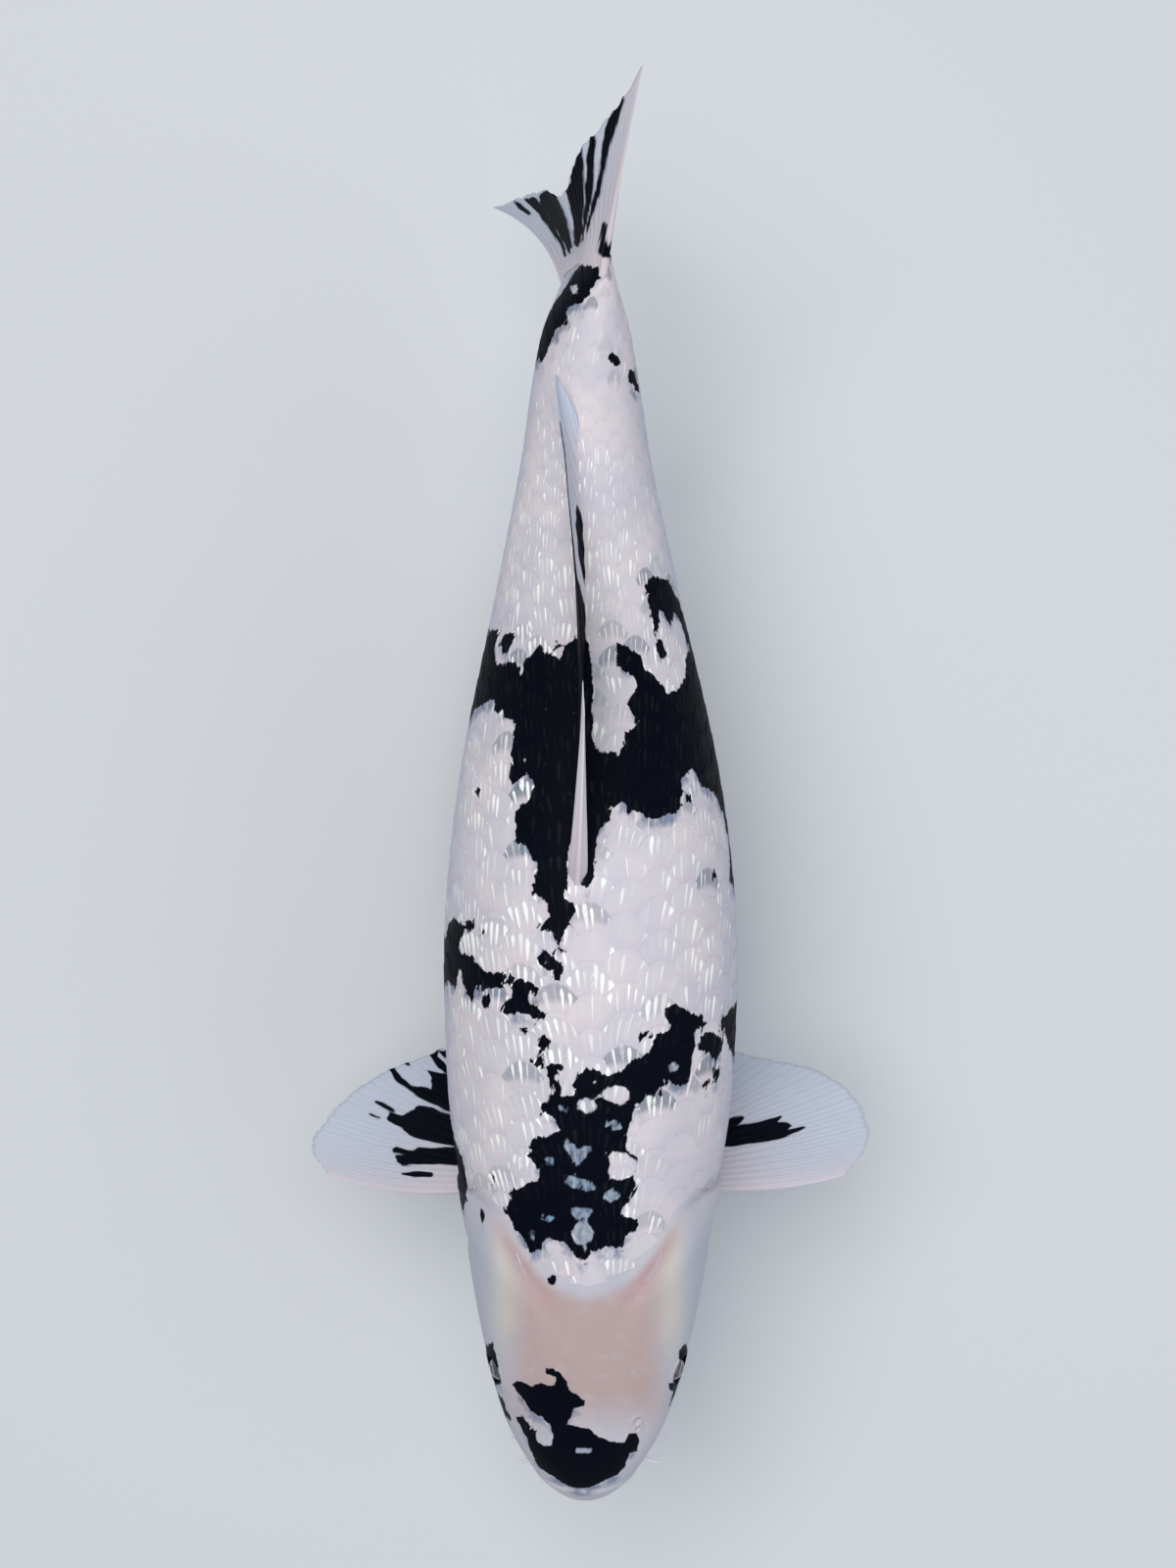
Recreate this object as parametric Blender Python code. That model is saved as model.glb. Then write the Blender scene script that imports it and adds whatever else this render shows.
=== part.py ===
"""A life-size koi carp held level on a plain display stand.

The fish swims towards -Y with its left side at +X. The floor is at z = 0 and the
origin is the middle of the model's box, on the floor. Body shapes are given as
shares of the standard length, which runs from the snout to the root of the tail.
"""

from bisect import bisect_right
from math import cos, pi, radians, sin, sqrt

import bmesh
import bpy
from mathutils import Matrix, Vector

# Driving dimensions, in metres.
STANDARD_LENGTH = 0.534
AXIS_HEIGHT = 0.170
TAIL_TIP = 1.116  # farthest tip of the tail fin, as a share of the standard length
SNOUT_Y = -STANDARD_LENGTH * TAIL_TIP / 2
GAP = 0.0003  # between pieces that touch
SWAY = 0.0021  # sideways swing of the spine, as a share of the standard length
TAIL_ROLL = radians(18)  # the tail's top is turned this far to the fish's left

# Outline of the body: along, half width, level of the widest line, back, belly.
BODY = (
    (0.000, 0.0000, -0.0200, -0.0200, -0.0200),
    (0.016, 0.0323, -0.0190, 0.0080, -0.0460),
    (0.040, 0.0501, -0.0170, 0.0265, -0.0620),
    (0.071, 0.0654, -0.0140, 0.0440, -0.0760),
    (0.135, 0.0831, -0.0090, 0.0730, -0.0960),
    (0.198, 0.0949, -0.0040, 0.0955, -0.1110),
    (0.240, 0.1000, 0.0000, 0.1070, -0.1200),
    (0.320, 0.1123, 0.0000, 0.1240, -0.1345),
    (0.420, 0.1176, 0.0000, 0.1355, -0.1430),
    (0.500, 0.1151, 0.0000, 0.1365, -0.1425),
    (0.600, 0.1023, 0.0000, 0.1230, -0.1310),
    (0.720, 0.0768, 0.0000, 0.0915, -0.0985),
    (0.840, 0.0524, 0.0000, 0.0650, -0.0670),
    (0.900, 0.0434, 0.0000, 0.0580, -0.0580),
    (0.945, 0.0338, 0.0000, 0.0565, -0.0560),
    (0.975, 0.0200, 0.0000, 0.0580, -0.0575),
    (1.000, 0.0050, 0.0000, 0.0600, -0.0600),
)
BODY_BY_ROOT = [(sqrt(row[0]), *row[1:]) for row in BODY]  # which rounds the snout
# How round a section is: along, power on the way up to the back, power down to the belly.
FULLNESS = (
    (0.00, 0.90, 0.92),
    (0.12, 0.84, 0.88),
    (0.24, 0.90, 0.88),
    (0.50, 0.94, 0.92),
    (1.00, 1.00, 1.00),
)

# Where the trunk is parted. The head ends at the gill opening, which is swept
# back from the nape at the sides.
NAPE = 0.174
GILL_SWEEP = 9.26
TRUNK_CUTS = (0.42, 0.62, 0.82)
GIRTH_STEPS = 36

EYE_RADIUS = 0.0066
EYE_PLACE = (0.0645, 0.118, 0.020)  # side, along, up

MATERIALS = {
    "skin": ((0.80, 0.76, 0.78, 1), 0.35, 0.0),
    "fin": ((0.72, 0.72, 0.80, 1), 0.35, 0.0),
    "eye": ((0.02, 0.02, 0.03, 1), 0.05, 0.0),
    "stand_wood": ((0.10, 0.055, 0.035, 1), 0.40, 0.0),
    "stand_steel": ((0.62, 0.62, 0.64, 1), 0.25, 1.0),
}


def clear_scene():
    for obj in list(bpy.data.objects):
        bpy.data.objects.remove(obj)


def make_materials():
    made = {}
    for name, (colour, roughness, metallic) in MATERIALS.items():
        made[name] = bpy.data.materials.new(name)
        made[name].use_nodes = True
        shader = made[name].node_tree.nodes["Principled BSDF"]
        shader.inputs["Base Color"].default_value = colour
        shader.inputs["Roughness"].default_value = roughness
        shader.inputs["Metallic"].default_value = metallic
    return made


# ---- curves and places -------------------------------------------------------


def through(rows, x):
    """The values at x of a smooth curve through rows of (x, value, value, ...)."""
    i = min(max(bisect_right([row[0] for row in rows], x) - 1, 0), len(rows) - 2)
    low, high = rows[i], rows[i + 1]
    span = high[0] - low[0]
    t = (x - low[0]) / span

    def slope(k, column):
        before, after = rows[max(k - 1, 0)], rows[min(k + 1, len(rows) - 1)]
        return (after[column] - before[column]) / (after[0] - before[0])

    values = []
    for column in range(1, len(low)):
        start, end = low[column], high[column]
        leave, arrive = slope(i, column) * span, slope(i + 1, column) * span
        values.append(
            start * (1 + 2 * t) * (1 - t) ** 2
            + leave * t * (1 - t) ** 2
            + end * t * t * (3 - 2 * t)
            - arrive * t * t * (1 - t)
        )
    return values


def ramp(x):
    """A soft step from 0 to 1."""
    x = min(max(x, 0), 1)
    return x * x * (3 - 2 * x)


def placed(side, along, up):
    """A place by the fish's own shares of length: side to its left, along from the snout."""
    return Vector(
        (
            side * STANDARD_LENGTH,
            SNOUT_Y + along * STANDARD_LENGTH,
            AXIS_HEIGHT + up * STANDARD_LENGTH,
        )
    )


def sway(along):
    return SWAY * cos(2 * pi * (along - 0.45))


def half_width(along, turn):
    """How far out the skin is at this turn round the girth, before the sway."""
    width = through(BODY_BY_ROOT, sqrt(max(along, 0)))[0]
    power = through(FULLNESS, along)[0 if sin(turn) > 0 else 1]
    return width * abs(cos(turn)) ** power


def skin_point(along, turn):
    """A point of the skin. Turn is 0 on the left flank and a quarter turn on the back."""
    _, level, back, belly = through(BODY_BY_ROOT, sqrt(max(along, 0)))
    reach = back if sin(turn) > 0 else belly
    power = through(FULLNESS, along)[0 if sin(turn) > 0 else 1]
    side = half_width(along, turn) * (1 if cos(turn) > 0 else -1)
    up = level + (reach - level) * abs(sin(turn)) ** power
    roll = TAIL_ROLL * ramp((along - 0.86) / 0.14)
    rolled_side = side * cos(roll) + up * sin(roll)
    rolled_up = up * cos(roll) - side * sin(roll)
    return placed(rolled_side + sway(along), along, rolled_up)


def gill_along(turn):
    """How far along the gill opening lies at this turn: forward on the nape and throat."""
    along = NAPE
    for _ in range(30):
        along = 0.5 * along + 0.5 * (NAPE + GILL_SWEEP * half_width(along, turn) ** 2)
    return along


# ---- making solids -----------------------------------------------------------


def finish(bm, name, material, smooth=True):
    bmesh.ops.recalc_face_normals(bm, faces=bm.faces)
    mesh = bpy.data.meshes.new(name)
    bm.to_mesh(mesh)
    bm.free()
    if smooth:
        mesh.shade_smooth()
    mesh.materials.append(material)
    obj = bpy.data.objects.new(name, mesh)
    bpy.context.scene.collection.objects.link(obj)
    return obj


def helper(obj):
    """Marks a cutter or another shape that isn't a piece of the model."""
    obj.hide_render = True
    obj.display_type = "WIRE"
    return obj


def carve(obj, cutter, operation="DIFFERENCE"):
    modifier = obj.modifiers.new(f"{operation.lower()}_{cutter.name}", "BOOLEAN")
    modifier.operation = operation
    modifier.object = cutter


def girdled(rings, place):
    """A bmesh wrapped round the body: place(u, v), u round the girth and v along."""
    bm = bmesh.new()
    bmesh.ops.create_grid(bm, x_segments=GIRTH_STEPS, y_segments=rings, size=1)
    for vert in bm.verts:
        vert.co = place((vert.co.x + 1) / 2, (vert.co.y + 1) / 2)
    bmesh.ops.remove_doubles(bm, verts=bm.verts, dist=1e-6)
    open_ends = [edge for edge in bm.edges if edge.is_boundary]
    caps = bmesh.ops.holes_fill(bm, edges=open_ends, sides=0)["faces"]
    bmesh.ops.poke(bm, faces=caps)
    return bm


def body_length(name, starts, ends, rings, material):
    """A length of the body between two cuts, each a function of the turn round the girth."""

    def place(u, v):
        turn = 2 * pi * u
        first, last = starts(turn), ends(turn)
        return skin_point((sqrt(first) + v * (sqrt(last) - sqrt(first))) ** 2, turn)

    return finish(girdled(rings, place), name, material)


def cut_at(along):
    return lambda turn: along


def grown_copy(obj, name, by):
    """A cutter: obj pushed out along its normals."""
    bm = bmesh.new()
    bm.from_mesh(obj.data)
    bm.normal_update()
    moves = [(vert, vert.normal * by) for vert in bm.verts]
    for vert, move in moves:
        vert.co += move
    return helper(finish(bm, name, obj.data.materials[0]))


def ellipsoid(name, centre, radii, material, steps=20):
    bm = bmesh.new()
    bmesh.ops.create_uvsphere(bm, u_segments=steps, v_segments=steps // 2 + 2, radius=1)
    bmesh.ops.scale(bm, vec=radii, verts=bm.verts)
    bmesh.ops.translate(bm, vec=centre, verts=bm.verts)
    return finish(bm, name, material)


def side_block(name, outline, material):
    """A block right across the head, from its outline of (along, up) seen from the side."""
    reach = 0.2
    bm = bmesh.new()
    verts = [bm.verts.new(placed(-reach, along, up)) for along, up in outline]
    face = bm.faces.new(verts)
    made = bmesh.ops.extrude_face_region(bm, geom=[face])["geom"]
    far = [item for item in made if isinstance(item, bmesh.types.BMVert)]
    bmesh.ops.translate(bm, vec=placed(reach, 0, 0) - placed(-reach, 0, 0), verts=far)
    return helper(finish(bm, name, material, smooth=False))


# ---- body --------------------------------------------------------------------


def make_body(skin):
    """The trunk in three lengths and the tail stem, each a thin cut from the next."""
    step = GAP / STANDARD_LENGTH
    front, middle, rear = TRUNK_CUTS
    body_length("trunk_front", lambda t: gill_along(t) + step, cut_at(front), 7, skin)
    body_length("trunk_middle", cut_at(front + step), cut_at(middle), 6, skin)
    body_length("trunk_rear", cut_at(middle + step), cut_at(rear), 6, skin)
    body_length("tail_stem", cut_at(rear + step), cut_at(1.0), 8, skin)


def make_head(skin, eye_material):
    """The head with its gill covers, eyes, upper lip and lower jaw cut from one block."""
    rings = 18
    block = helper(body_length("head_block", cut_at(0.0), gill_along, rings, skin))

    def from_block(name):
        obj = bpy.data.objects.new(name, block.data.copy())
        bpy.context.scene.collection.objects.link(obj)
        return obj

    head = from_block("head")
    for side, sign in (("left", 1), ("right", -1)):
        cover_centre = placed(sign * 0.112, 0.250, -0.018)
        cover_radii = Vector((0.036, 0.078, 0.084)) * STANDARD_LENGTH
        wedge = helper(ellipsoid(f"cover_{side}", cover_centre, cover_radii, skin))
        carve(from_block(f"gill_cover_{side}"), wedge, "INTERSECT")
        carve(head, grown_copy(wedge, f"cover_{side}_room", GAP))

        out, along, up = EYE_PLACE
        eye_centre = placed(sign * out + sway(along), along, up)
        eye = ellipsoid(f"eye_{side}", eye_centre, (EYE_RADIUS,) * 3, eye_material, 16)
        carve(head, grown_copy(eye, f"eye_{side}_socket", GAP))

    # Mouth, seen from the side: lip above and jaw below a line that falls to the corner.
    front, step = -0.03, 1.2 * GAP / STANDARD_LENGTH
    mouth = ((front, -0.0225), (0.046, -0.0440))
    lip_back = ((0.030, -0.0150), (0.017, 0.0200), (front, 0.0320))
    jaw_back = ((0.104, -0.0700), (0.112, -0.1500), (front, -0.1500))
    (throat, throat_up), (chest, chest_up), chin = jaw_back
    corner, corner_up = mouth[1]
    room = [chin, (chest + step, chest_up), (throat + step, throat_up), (corner + 2 * step, corner_up)]
    room += [(along + step, up + step) for along, up in lip_back]
    jaw = [(along, up - step) for along, up in mouth] + list(jaw_back)
    lip = list(mouth) + list(lip_back)
    carve(head, side_block("mouth_room", room, skin))
    carve(from_block("lower_jaw"), side_block("jaw_wedge", jaw, skin), "INTERSECT")
    carve(from_block("upper_lip"), side_block("lip_wedge", lip, skin), "INTERSECT")


def make_barbels(skin, body_room):
    """Two tapered feelers each side: a short one on the lip and a longer one at the corner."""
    routes = {
        "lip": ((0.040, 0.030, -0.036), (0.0500, 0.0260, -0.0400), (0.0580, 0.0225, -0.0460)),
        "corner": ((0.040, 0.048, -0.052), (0.0560, 0.0400, -0.0590), (0.0630, 0.0350, -0.0740)),
    }
    root_radius, tip_radius, turns, steps = 0.0015, 0.0005, 8, 7
    for name, (root, bend, tip) in routes.items():
        for side, sign in (("left", 1), ("right", -1)):
            points = [placed(sign * x, along, up) for x, along, up in (root, bend, tip)]
            bm = bmesh.new()
            bmesh.ops.create_cone(
                bm, cap_ends=True, segments=turns, radius1=root_radius, radius2=tip_radius, depth=1
            )
            rings = [edge for edge in bm.edges if abs(edge.verts[0].co.z - edge.verts[1].co.z) > 0.5]
            bmesh.ops.subdivide_edges(bm, edges=rings, cuts=steps)
            for vert in bm.verts:
                t = vert.co.z + 0.5
                spot = points[0] * (1 - t) ** 2 + points[1] * 2 * t * (1 - t) + points[2] * t * t
                heading = (points[1] - points[0]) * (1 - t) + (points[2] - points[1]) * t
                turned = heading.to_track_quat("Z", "Y").to_matrix()
                vert.co = spot + turned @ Vector((vert.co.x, vert.co.y, 0))
            carve(finish(bm, f"barbel_{name}_{side}", skin), body_room)


# ---- fins --------------------------------------------------------------------
# A fin is a fan of rays. Its rows are (place in the fan, root, tip, bow), where a
# place is (side, along, up) and the bow is how far the ray's middle is pushed.

DORSAL_RAYS = (
    (0.00, (-0.008, 0.500, 0.120), (-0.004, 0.630, 0.204), (0.0, -0.012, 0.012)),
    (0.12, (-0.007, 0.538, 0.118), (-0.006, 0.670, 0.191), (0.0, -0.010, 0.010)),
    (0.35, (-0.004, 0.617, 0.105), (-0.010, 0.737, 0.157), (0.0, -0.006, 0.007)),
    (0.70, (-0.001, 0.737, 0.075), (-0.016, 0.828, 0.110), (-0.002, -0.002, 0.004)),
    (1.00, (0.000, 0.830, 0.052), (-0.026, 0.895, 0.075), (-0.003, 0.002, 0.003)),
)
CAUDAL_RAYS = (
    (0.00, (0.011, 0.972, 0.0535), (0.0425, 1.1160, 0.1355), (0.000, 0.004, 0.006)),
    (0.17, (0.009, 0.978, 0.0330), (0.0165, 1.0920, 0.0935), (0.000, 0.002, 0.002)),
    (0.34, (0.005, 0.980, 0.0160), (-0.0060, 1.0790, 0.0580), (0.000, 0.0, 0.001)),
    (0.50, (0.000, 0.980, 0.0000), (-0.0205, 1.0560, 0.0040), (0.002, 0.0, 0.0)),
    (0.66, (-0.005, 0.980, -0.0160), (-0.0348, 1.0710, -0.0470), (0.004, 0.001, -0.001)),
    (0.83, (-0.010, 0.978, -0.0330), (-0.0540, 1.0800, -0.1000), (0.008, 0.004, -0.004)),
    (1.00, (-0.016, 0.974, -0.0535), (-0.0850, 1.0855, -0.1730), (0.011, 0.012, -0.006)),
)
ANAL_RAYS = (
    (0.00, (0.000, 0.770, -0.066), (0.004, 0.868, -0.186), (0.0, 0.010, 0.000)),
    (0.20, (0.000, 0.787, -0.062), (0.005, 0.893, -0.172), (0.0, 0.008, 0.000)),
    (0.60, (0.000, 0.814, -0.056), (0.004, 0.903, -0.132), (0.0, 0.005, 0.000)),
    (1.00, (0.000, 0.839, -0.050), (0.002, 0.905, -0.098), (0.0, 0.002, 0.000)),
)
LEFT_PECTORAL_RAYS = (
    (0.00, (0.066, 0.2430, -0.0800), (0.2160, 0.2520, -0.0850), (0.006, -0.0065, 0.006)),
    (0.25, (0.066, 0.2550, -0.0840), (0.2380, 0.2790, -0.0920), (0.000, -0.0040, 0.006)),
    (0.50, (0.066, 0.2670, -0.0880), (0.2330, 0.3080, -0.1010), (0.000, -0.0020, 0.006)),
    (0.75, (0.066, 0.2780, -0.0920), (0.1960, 0.3370, -0.1110), (0.000, 0.0000, 0.004)),
    (1.00, (0.066, 0.2890, -0.0960), (0.1240, 0.3530, -0.1190), (0.000, 0.0040, 0.002)),
)
RIGHT_PECTORAL_RAYS = (
    (0.00, (0.066, 0.2430, -0.0800), (0.2190, 0.2530, -0.0850), (0.006, -0.0100, 0.006)),
    (0.25, (0.066, 0.2550, -0.0840), (0.2350, 0.2770, -0.0920), (0.000, -0.0060, 0.006)),
    (0.50, (0.066, 0.2670, -0.0880), (0.2170, 0.3050, -0.1010), (0.000, -0.0030, 0.006)),
    (0.75, (0.066, 0.2780, -0.0920), (0.1760, 0.3350, -0.1110), (0.000, 0.0000, 0.004)),
    (1.00, (0.066, 0.2890, -0.0960), (0.1240, 0.3560, -0.1190), (0.000, 0.0040, 0.002)),
)
PELVIC_RAYS = (
    (0.00, (0.050, 0.4780, -0.110), (0.0930, 0.5820, -0.166), (0.010, 0.004, -0.002)),
    (0.35, (0.044, 0.4880, -0.114), (0.0880, 0.6080, -0.176), (0.006, 0.002, -0.004)),
    (0.70, (0.038, 0.4980, -0.118), (0.0690, 0.6120, -0.180), (0.004, 0.000, -0.004)),
    (1.00, (0.032, 0.5060, -0.122), (0.0480, 0.5900, -0.172), (0.002, 0.000, -0.004)),
)


def fin_point(rays, across, out):
    """The middle of the fin's thickness: across the fan, and out from root to tip."""
    rows = [(row[0], *row[1], *row[2], *row[3]) for row in rays]
    values = through(rows, across)
    root, tip, bow = (Vector(values[k : k + 3]) for k in (0, 3, 6))
    return root.lerp(tip, out) + bow * 4 * out * (1 - out)


def make_fin(name, rays, span, steps, thickness, material, body_room, sign=1):
    """One fan, thick at the root and thin at the rim. Span is the share of it to make."""
    across_steps, out_steps = steps
    root_thickness, rim_thickness = thickness
    bm = bmesh.new()
    bmesh.ops.create_grid(bm, x_segments=across_steps, y_segments=out_steps, size=1)
    weights = bm.verts.layers.deform.verify()
    for vert in bm.verts:
        across = span[0] + (span[1] - span[0]) * (vert.co.x + 1) / 2
        out = (vert.co.y + 1) / 2
        share = rim_thickness / root_thickness
        vert[weights][0] = share + (1 - share) * (1 - out) ** 1.5
        side, along, up = fin_point(rays, across, out)
        vert.co = placed(sign * side, along, up)
    obj = finish(bm, name, material)
    obj.vertex_groups.new(name="thickness")
    solid = obj.modifiers.new("thickness", "SOLIDIFY")
    solid.thickness = root_thickness
    solid.offset = 0
    solid.vertex_group = "thickness"
    carve(obj, body_room)
    return obj


def make_fins(fin, body_room):
    whole, split = (0, 1), 0.004  # the tail's two lobes part along its middle ray
    make_fin("dorsal_fin", DORSAL_RAYS, whole, (16, 5), (0.0040, 0.0010), fin, body_room)
    upper, lower = (0, 0.5 - split), (0.5 + split, 1)
    lobe = {"steps": (9, 7), "thickness": (0.0048, 0.0010)}
    make_fin("caudal_fin_upper", CAUDAL_RAYS, upper, **lobe, material=fin, body_room=body_room)
    make_fin("caudal_fin_lower", CAUDAL_RAYS, lower, **lobe, material=fin, body_room=body_room)
    make_fin("anal_fin", ANAL_RAYS, whole, (8, 5), (0.0036, 0.0010), fin, body_room)
    for side, sign, pectoral_rays in (
        ("left", 1, LEFT_PECTORAL_RAYS),
        ("right", -1, RIGHT_PECTORAL_RAYS),
    ):
        name = f"pectoral_fin_{side}"
        make_fin(name, pectoral_rays, whole, (12, 7), (0.0060, 0.0010), fin, body_room, sign)
        name = f"pelvic_fin_{side}"
        make_fin(name, PELVIC_RAYS, whole, (8, 5), (0.0040, 0.0010), fin, body_room, sign)


# ---- stand -------------------------------------------------------------------

BASE_LENGTH, BASE_WIDTH, BASE_THICKNESS = 0.300, 0.104, 0.014
BASE_ALONG = 0.50  # the middle of the base, along the fish
ROD_RADIUS = 0.004
ROD_ALONG = {"front": 0.36, "rear": 0.68}


def make_stand(wood, steel, body_room):
    """An oval wooden base with two steel rods up to the belly."""
    bm = bmesh.new()
    bmesh.ops.create_cone(bm, cap_ends=True, segments=48, radius1=0.5, radius2=0.5, depth=1)
    bmesh.ops.scale(bm, vec=(BASE_WIDTH, BASE_LENGTH, BASE_THICKNESS), verts=bm.verts)
    centre = placed(0, BASE_ALONG, 0)
    centre.z = BASE_THICKNESS / 2
    bmesh.ops.translate(bm, vec=centre, verts=bm.verts)
    base = finish(bm, "stand_base", wood)
    base.data.set_sharp_from_angle(angle=radians(40))
    edge = base.modifiers.new("eased_edge", "BEVEL")
    edge.width, edge.segments, edge.limit_method = 0.002, 2, "ANGLE"

    for name, along in ROD_ALONG.items():
        foot = BASE_THICKNESS + GAP
        length = AXIS_HEIGHT - foot
        bm = bmesh.new()
        bmesh.ops.create_cone(
            bm, cap_ends=True, segments=20, radius1=ROD_RADIUS, radius2=ROD_RADIUS, depth=length
        )
        middle = placed(sway(along), along, 0)
        middle.z = foot + length / 2
        bmesh.ops.transform(bm, matrix=Matrix.Translation(middle), verts=bm.verts)
        rod = finish(bm, f"stand_rod_{name}", steel)
        rod.data.set_sharp_from_angle(angle=radians(40))
        carve(rod, body_room)


def main():
    clear_scene()
    looks = make_materials()
    whole = body_length("whole_body", cut_at(0.0), cut_at(1.0), 60, looks["skin"])
    body_room = grown_copy(helper(whole), "body_room", GAP)
    make_body(looks["skin"])
    make_head(looks["skin"], looks["eye"])
    make_barbels(looks["skin"], body_room)
    make_fins(looks["fin"], body_room)
    make_stand(looks["stand_wood"], looks["stand_steel"], body_room)


main()
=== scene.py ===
from functools import partialmethod

import bmesh
import bpy
import numpy as np
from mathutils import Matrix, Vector


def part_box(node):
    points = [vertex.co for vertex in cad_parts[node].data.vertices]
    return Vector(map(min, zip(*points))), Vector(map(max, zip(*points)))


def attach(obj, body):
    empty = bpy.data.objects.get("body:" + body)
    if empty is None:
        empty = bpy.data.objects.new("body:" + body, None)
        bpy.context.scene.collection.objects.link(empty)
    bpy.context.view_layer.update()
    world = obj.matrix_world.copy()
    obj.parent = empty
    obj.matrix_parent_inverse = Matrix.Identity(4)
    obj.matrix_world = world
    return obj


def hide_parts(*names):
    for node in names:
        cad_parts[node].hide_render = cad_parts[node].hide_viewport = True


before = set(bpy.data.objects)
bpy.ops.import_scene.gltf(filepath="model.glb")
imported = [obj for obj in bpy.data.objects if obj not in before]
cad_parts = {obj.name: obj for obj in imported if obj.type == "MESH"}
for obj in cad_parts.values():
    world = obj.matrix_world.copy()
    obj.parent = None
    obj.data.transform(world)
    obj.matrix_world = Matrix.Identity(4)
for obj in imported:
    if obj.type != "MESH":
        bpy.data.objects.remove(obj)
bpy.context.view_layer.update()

# ---- Skin ----
# One smooth wet skin over the whole body of a full-bodied koi: white, with black patches. It
# lies half a millimetre inside the body under the scales. On the scaleless head it comes out
# to full size and forms the eye sockets, nostrils, lips, gill covers and roots of the fins.

# The fish swims towards -Y with its left side at +X. Places on the body are given by how far
# along it they are, from 0 at the snout to 1 at the root of the tail, and by how far round:
# 0 on the back, 1 or -1 on the belly, and more than 0 on the fish's left.

snout_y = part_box("upper_lip")[0].y
body_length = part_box("tail_stem")[1].y - snout_y
eye_places = {name: sum(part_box(f"eye_{name}"), Vector()) / 2 for name in ("left", "right")}
axis_z = eye_places["left"].z - 0.020 * body_length
tail_roll = np.radians(18)
body_sway = 0.0021  # to each side, as a share of the body's length
mm = 0.001

# Along, half width, level of the widest line, back, belly, as shares of the body's length.
body_outline = np.array((
    (0.000, 0.0000, -0.0200, -0.0200, -0.0200),
    (0.016, 0.0323, -0.0190, 0.0080, -0.0460),
    (0.040, 0.0501, -0.0170, 0.0265, -0.0620),
    (0.071, 0.0654, -0.0140, 0.0440, -0.0760),
    (0.135, 0.0831, -0.0090, 0.0730, -0.0960),
    (0.198, 0.0949, -0.0040, 0.0955, -0.1110),
    (0.240, 0.1000, 0.0000, 0.1070, -0.1200),
    (0.320, 0.1123, 0.0000, 0.1240, -0.1345),
    (0.420, 0.1176, 0.0000, 0.1355, -0.1430),
    (0.500, 0.1151, 0.0000, 0.1365, -0.1425),
    (0.600, 0.1023, 0.0000, 0.1230, -0.1310),
    (0.720, 0.0768, 0.0000, 0.0915, -0.0985),
    (0.840, 0.0524, 0.0000, 0.0650, -0.0670),
    (0.900, 0.0434, 0.0000, 0.0580, -0.0580),
    (0.945, 0.0338, 0.0000, 0.0565, -0.0560),
    (0.975, 0.0200, 0.0000, 0.0580, -0.0575),
    (1.000, 0.0050, 0.0000, 0.0600, -0.0600),
))
body_outline[:, 0] **= 0.5  # the square root of the place along, which rounds the snout
# How round a section is: along, power on the way to the back, power on the way to the belly.
body_fullness = np.array((
    (0.00, 0.90, 0.92), (0.12, 0.84, 0.88), (0.24, 0.90, 0.88), (0.50, 0.94, 0.92), (1.00, 1.00, 1.00),
))


def through(rows, x):
    """The values at x of a smooth curve through rows of (x, value, value, ...)."""
    knots, values = rows[:, 0], rows[:, 1:]
    last = len(rows) - 1
    before, after = np.maximum(np.arange(last + 1) - 1, 0), np.minimum(np.arange(last + 1) + 1, last)
    slopes = (values[after] - values[before]) / (knots[after] - knots[before])[:, None]
    low = np.clip(np.searchsorted(knots, x, "right") - 1, 0, last - 1)
    span = (knots[low + 1] - knots[low])[..., None]
    t = (x - knots[low])[..., None] / span
    level = values[low] * (1 + 2 * t) * (1 - t) ** 2 + values[low + 1] * t * t * (3 - 2 * t)
    return level + span * (slopes[low] * t * (1 - t) ** 2 - slopes[low + 1] * t * t * (1 - t))


def soft_step(x, low, high):
    """0 at low, 1 at high, and a soft step between. It steps down where high is the lesser."""
    t = np.clip((x - low) / (high - low), 0, 1)
    return t * t * (3 - 2 * t)


def bell(x, width):
    """1 at 0, and less and less over this width to either side."""
    return np.exp(-((x / width) ** 2))


def section(along, turn):
    """Side and height on the section at this place along, as shares of the body's length."""
    along = np.maximum(along, 0)
    width, level, back, belly = np.moveaxis(through(body_outline, np.sqrt(along)), -1, 0)
    powers = through(body_fullness, along)
    upper = np.sin(turn) > 0
    power = np.where(upper, powers[..., 0], powers[..., 1])
    side = width * np.abs(np.cos(turn)) ** power * np.sign(np.cos(turn))
    up = level + (np.where(upper, back, belly) - level) * np.abs(np.sin(turn)) ** power
    return side, up


# Each section's own distance round it, from the back down to the belly.
table_along = np.linspace(0.0, 1.0, 401) ** 2
table_turns = np.linspace(0, np.pi, 361)
table_round = np.linspace(0, 1, 241)
sides, ups = section(np.maximum(table_along, 1e-6)[:, None], np.pi / 2 - table_turns[None])
steps = np.hypot(np.diff(sides, axis=1), np.diff(ups, axis=1))
distances = np.concatenate([np.zeros((len(sides), 1)), np.cumsum(steps, axis=1)], axis=1)
half_girths = distances[:, -1] * body_length
turn_table = np.array([np.interp(table_round, row / row[-1], table_turns) for row in distances])


def half_girth(along):
    """From the back to the belly round one side, in metres."""
    return np.interp(np.sqrt(np.clip(along, 0, 1)), np.sqrt(table_along), half_girths)


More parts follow.
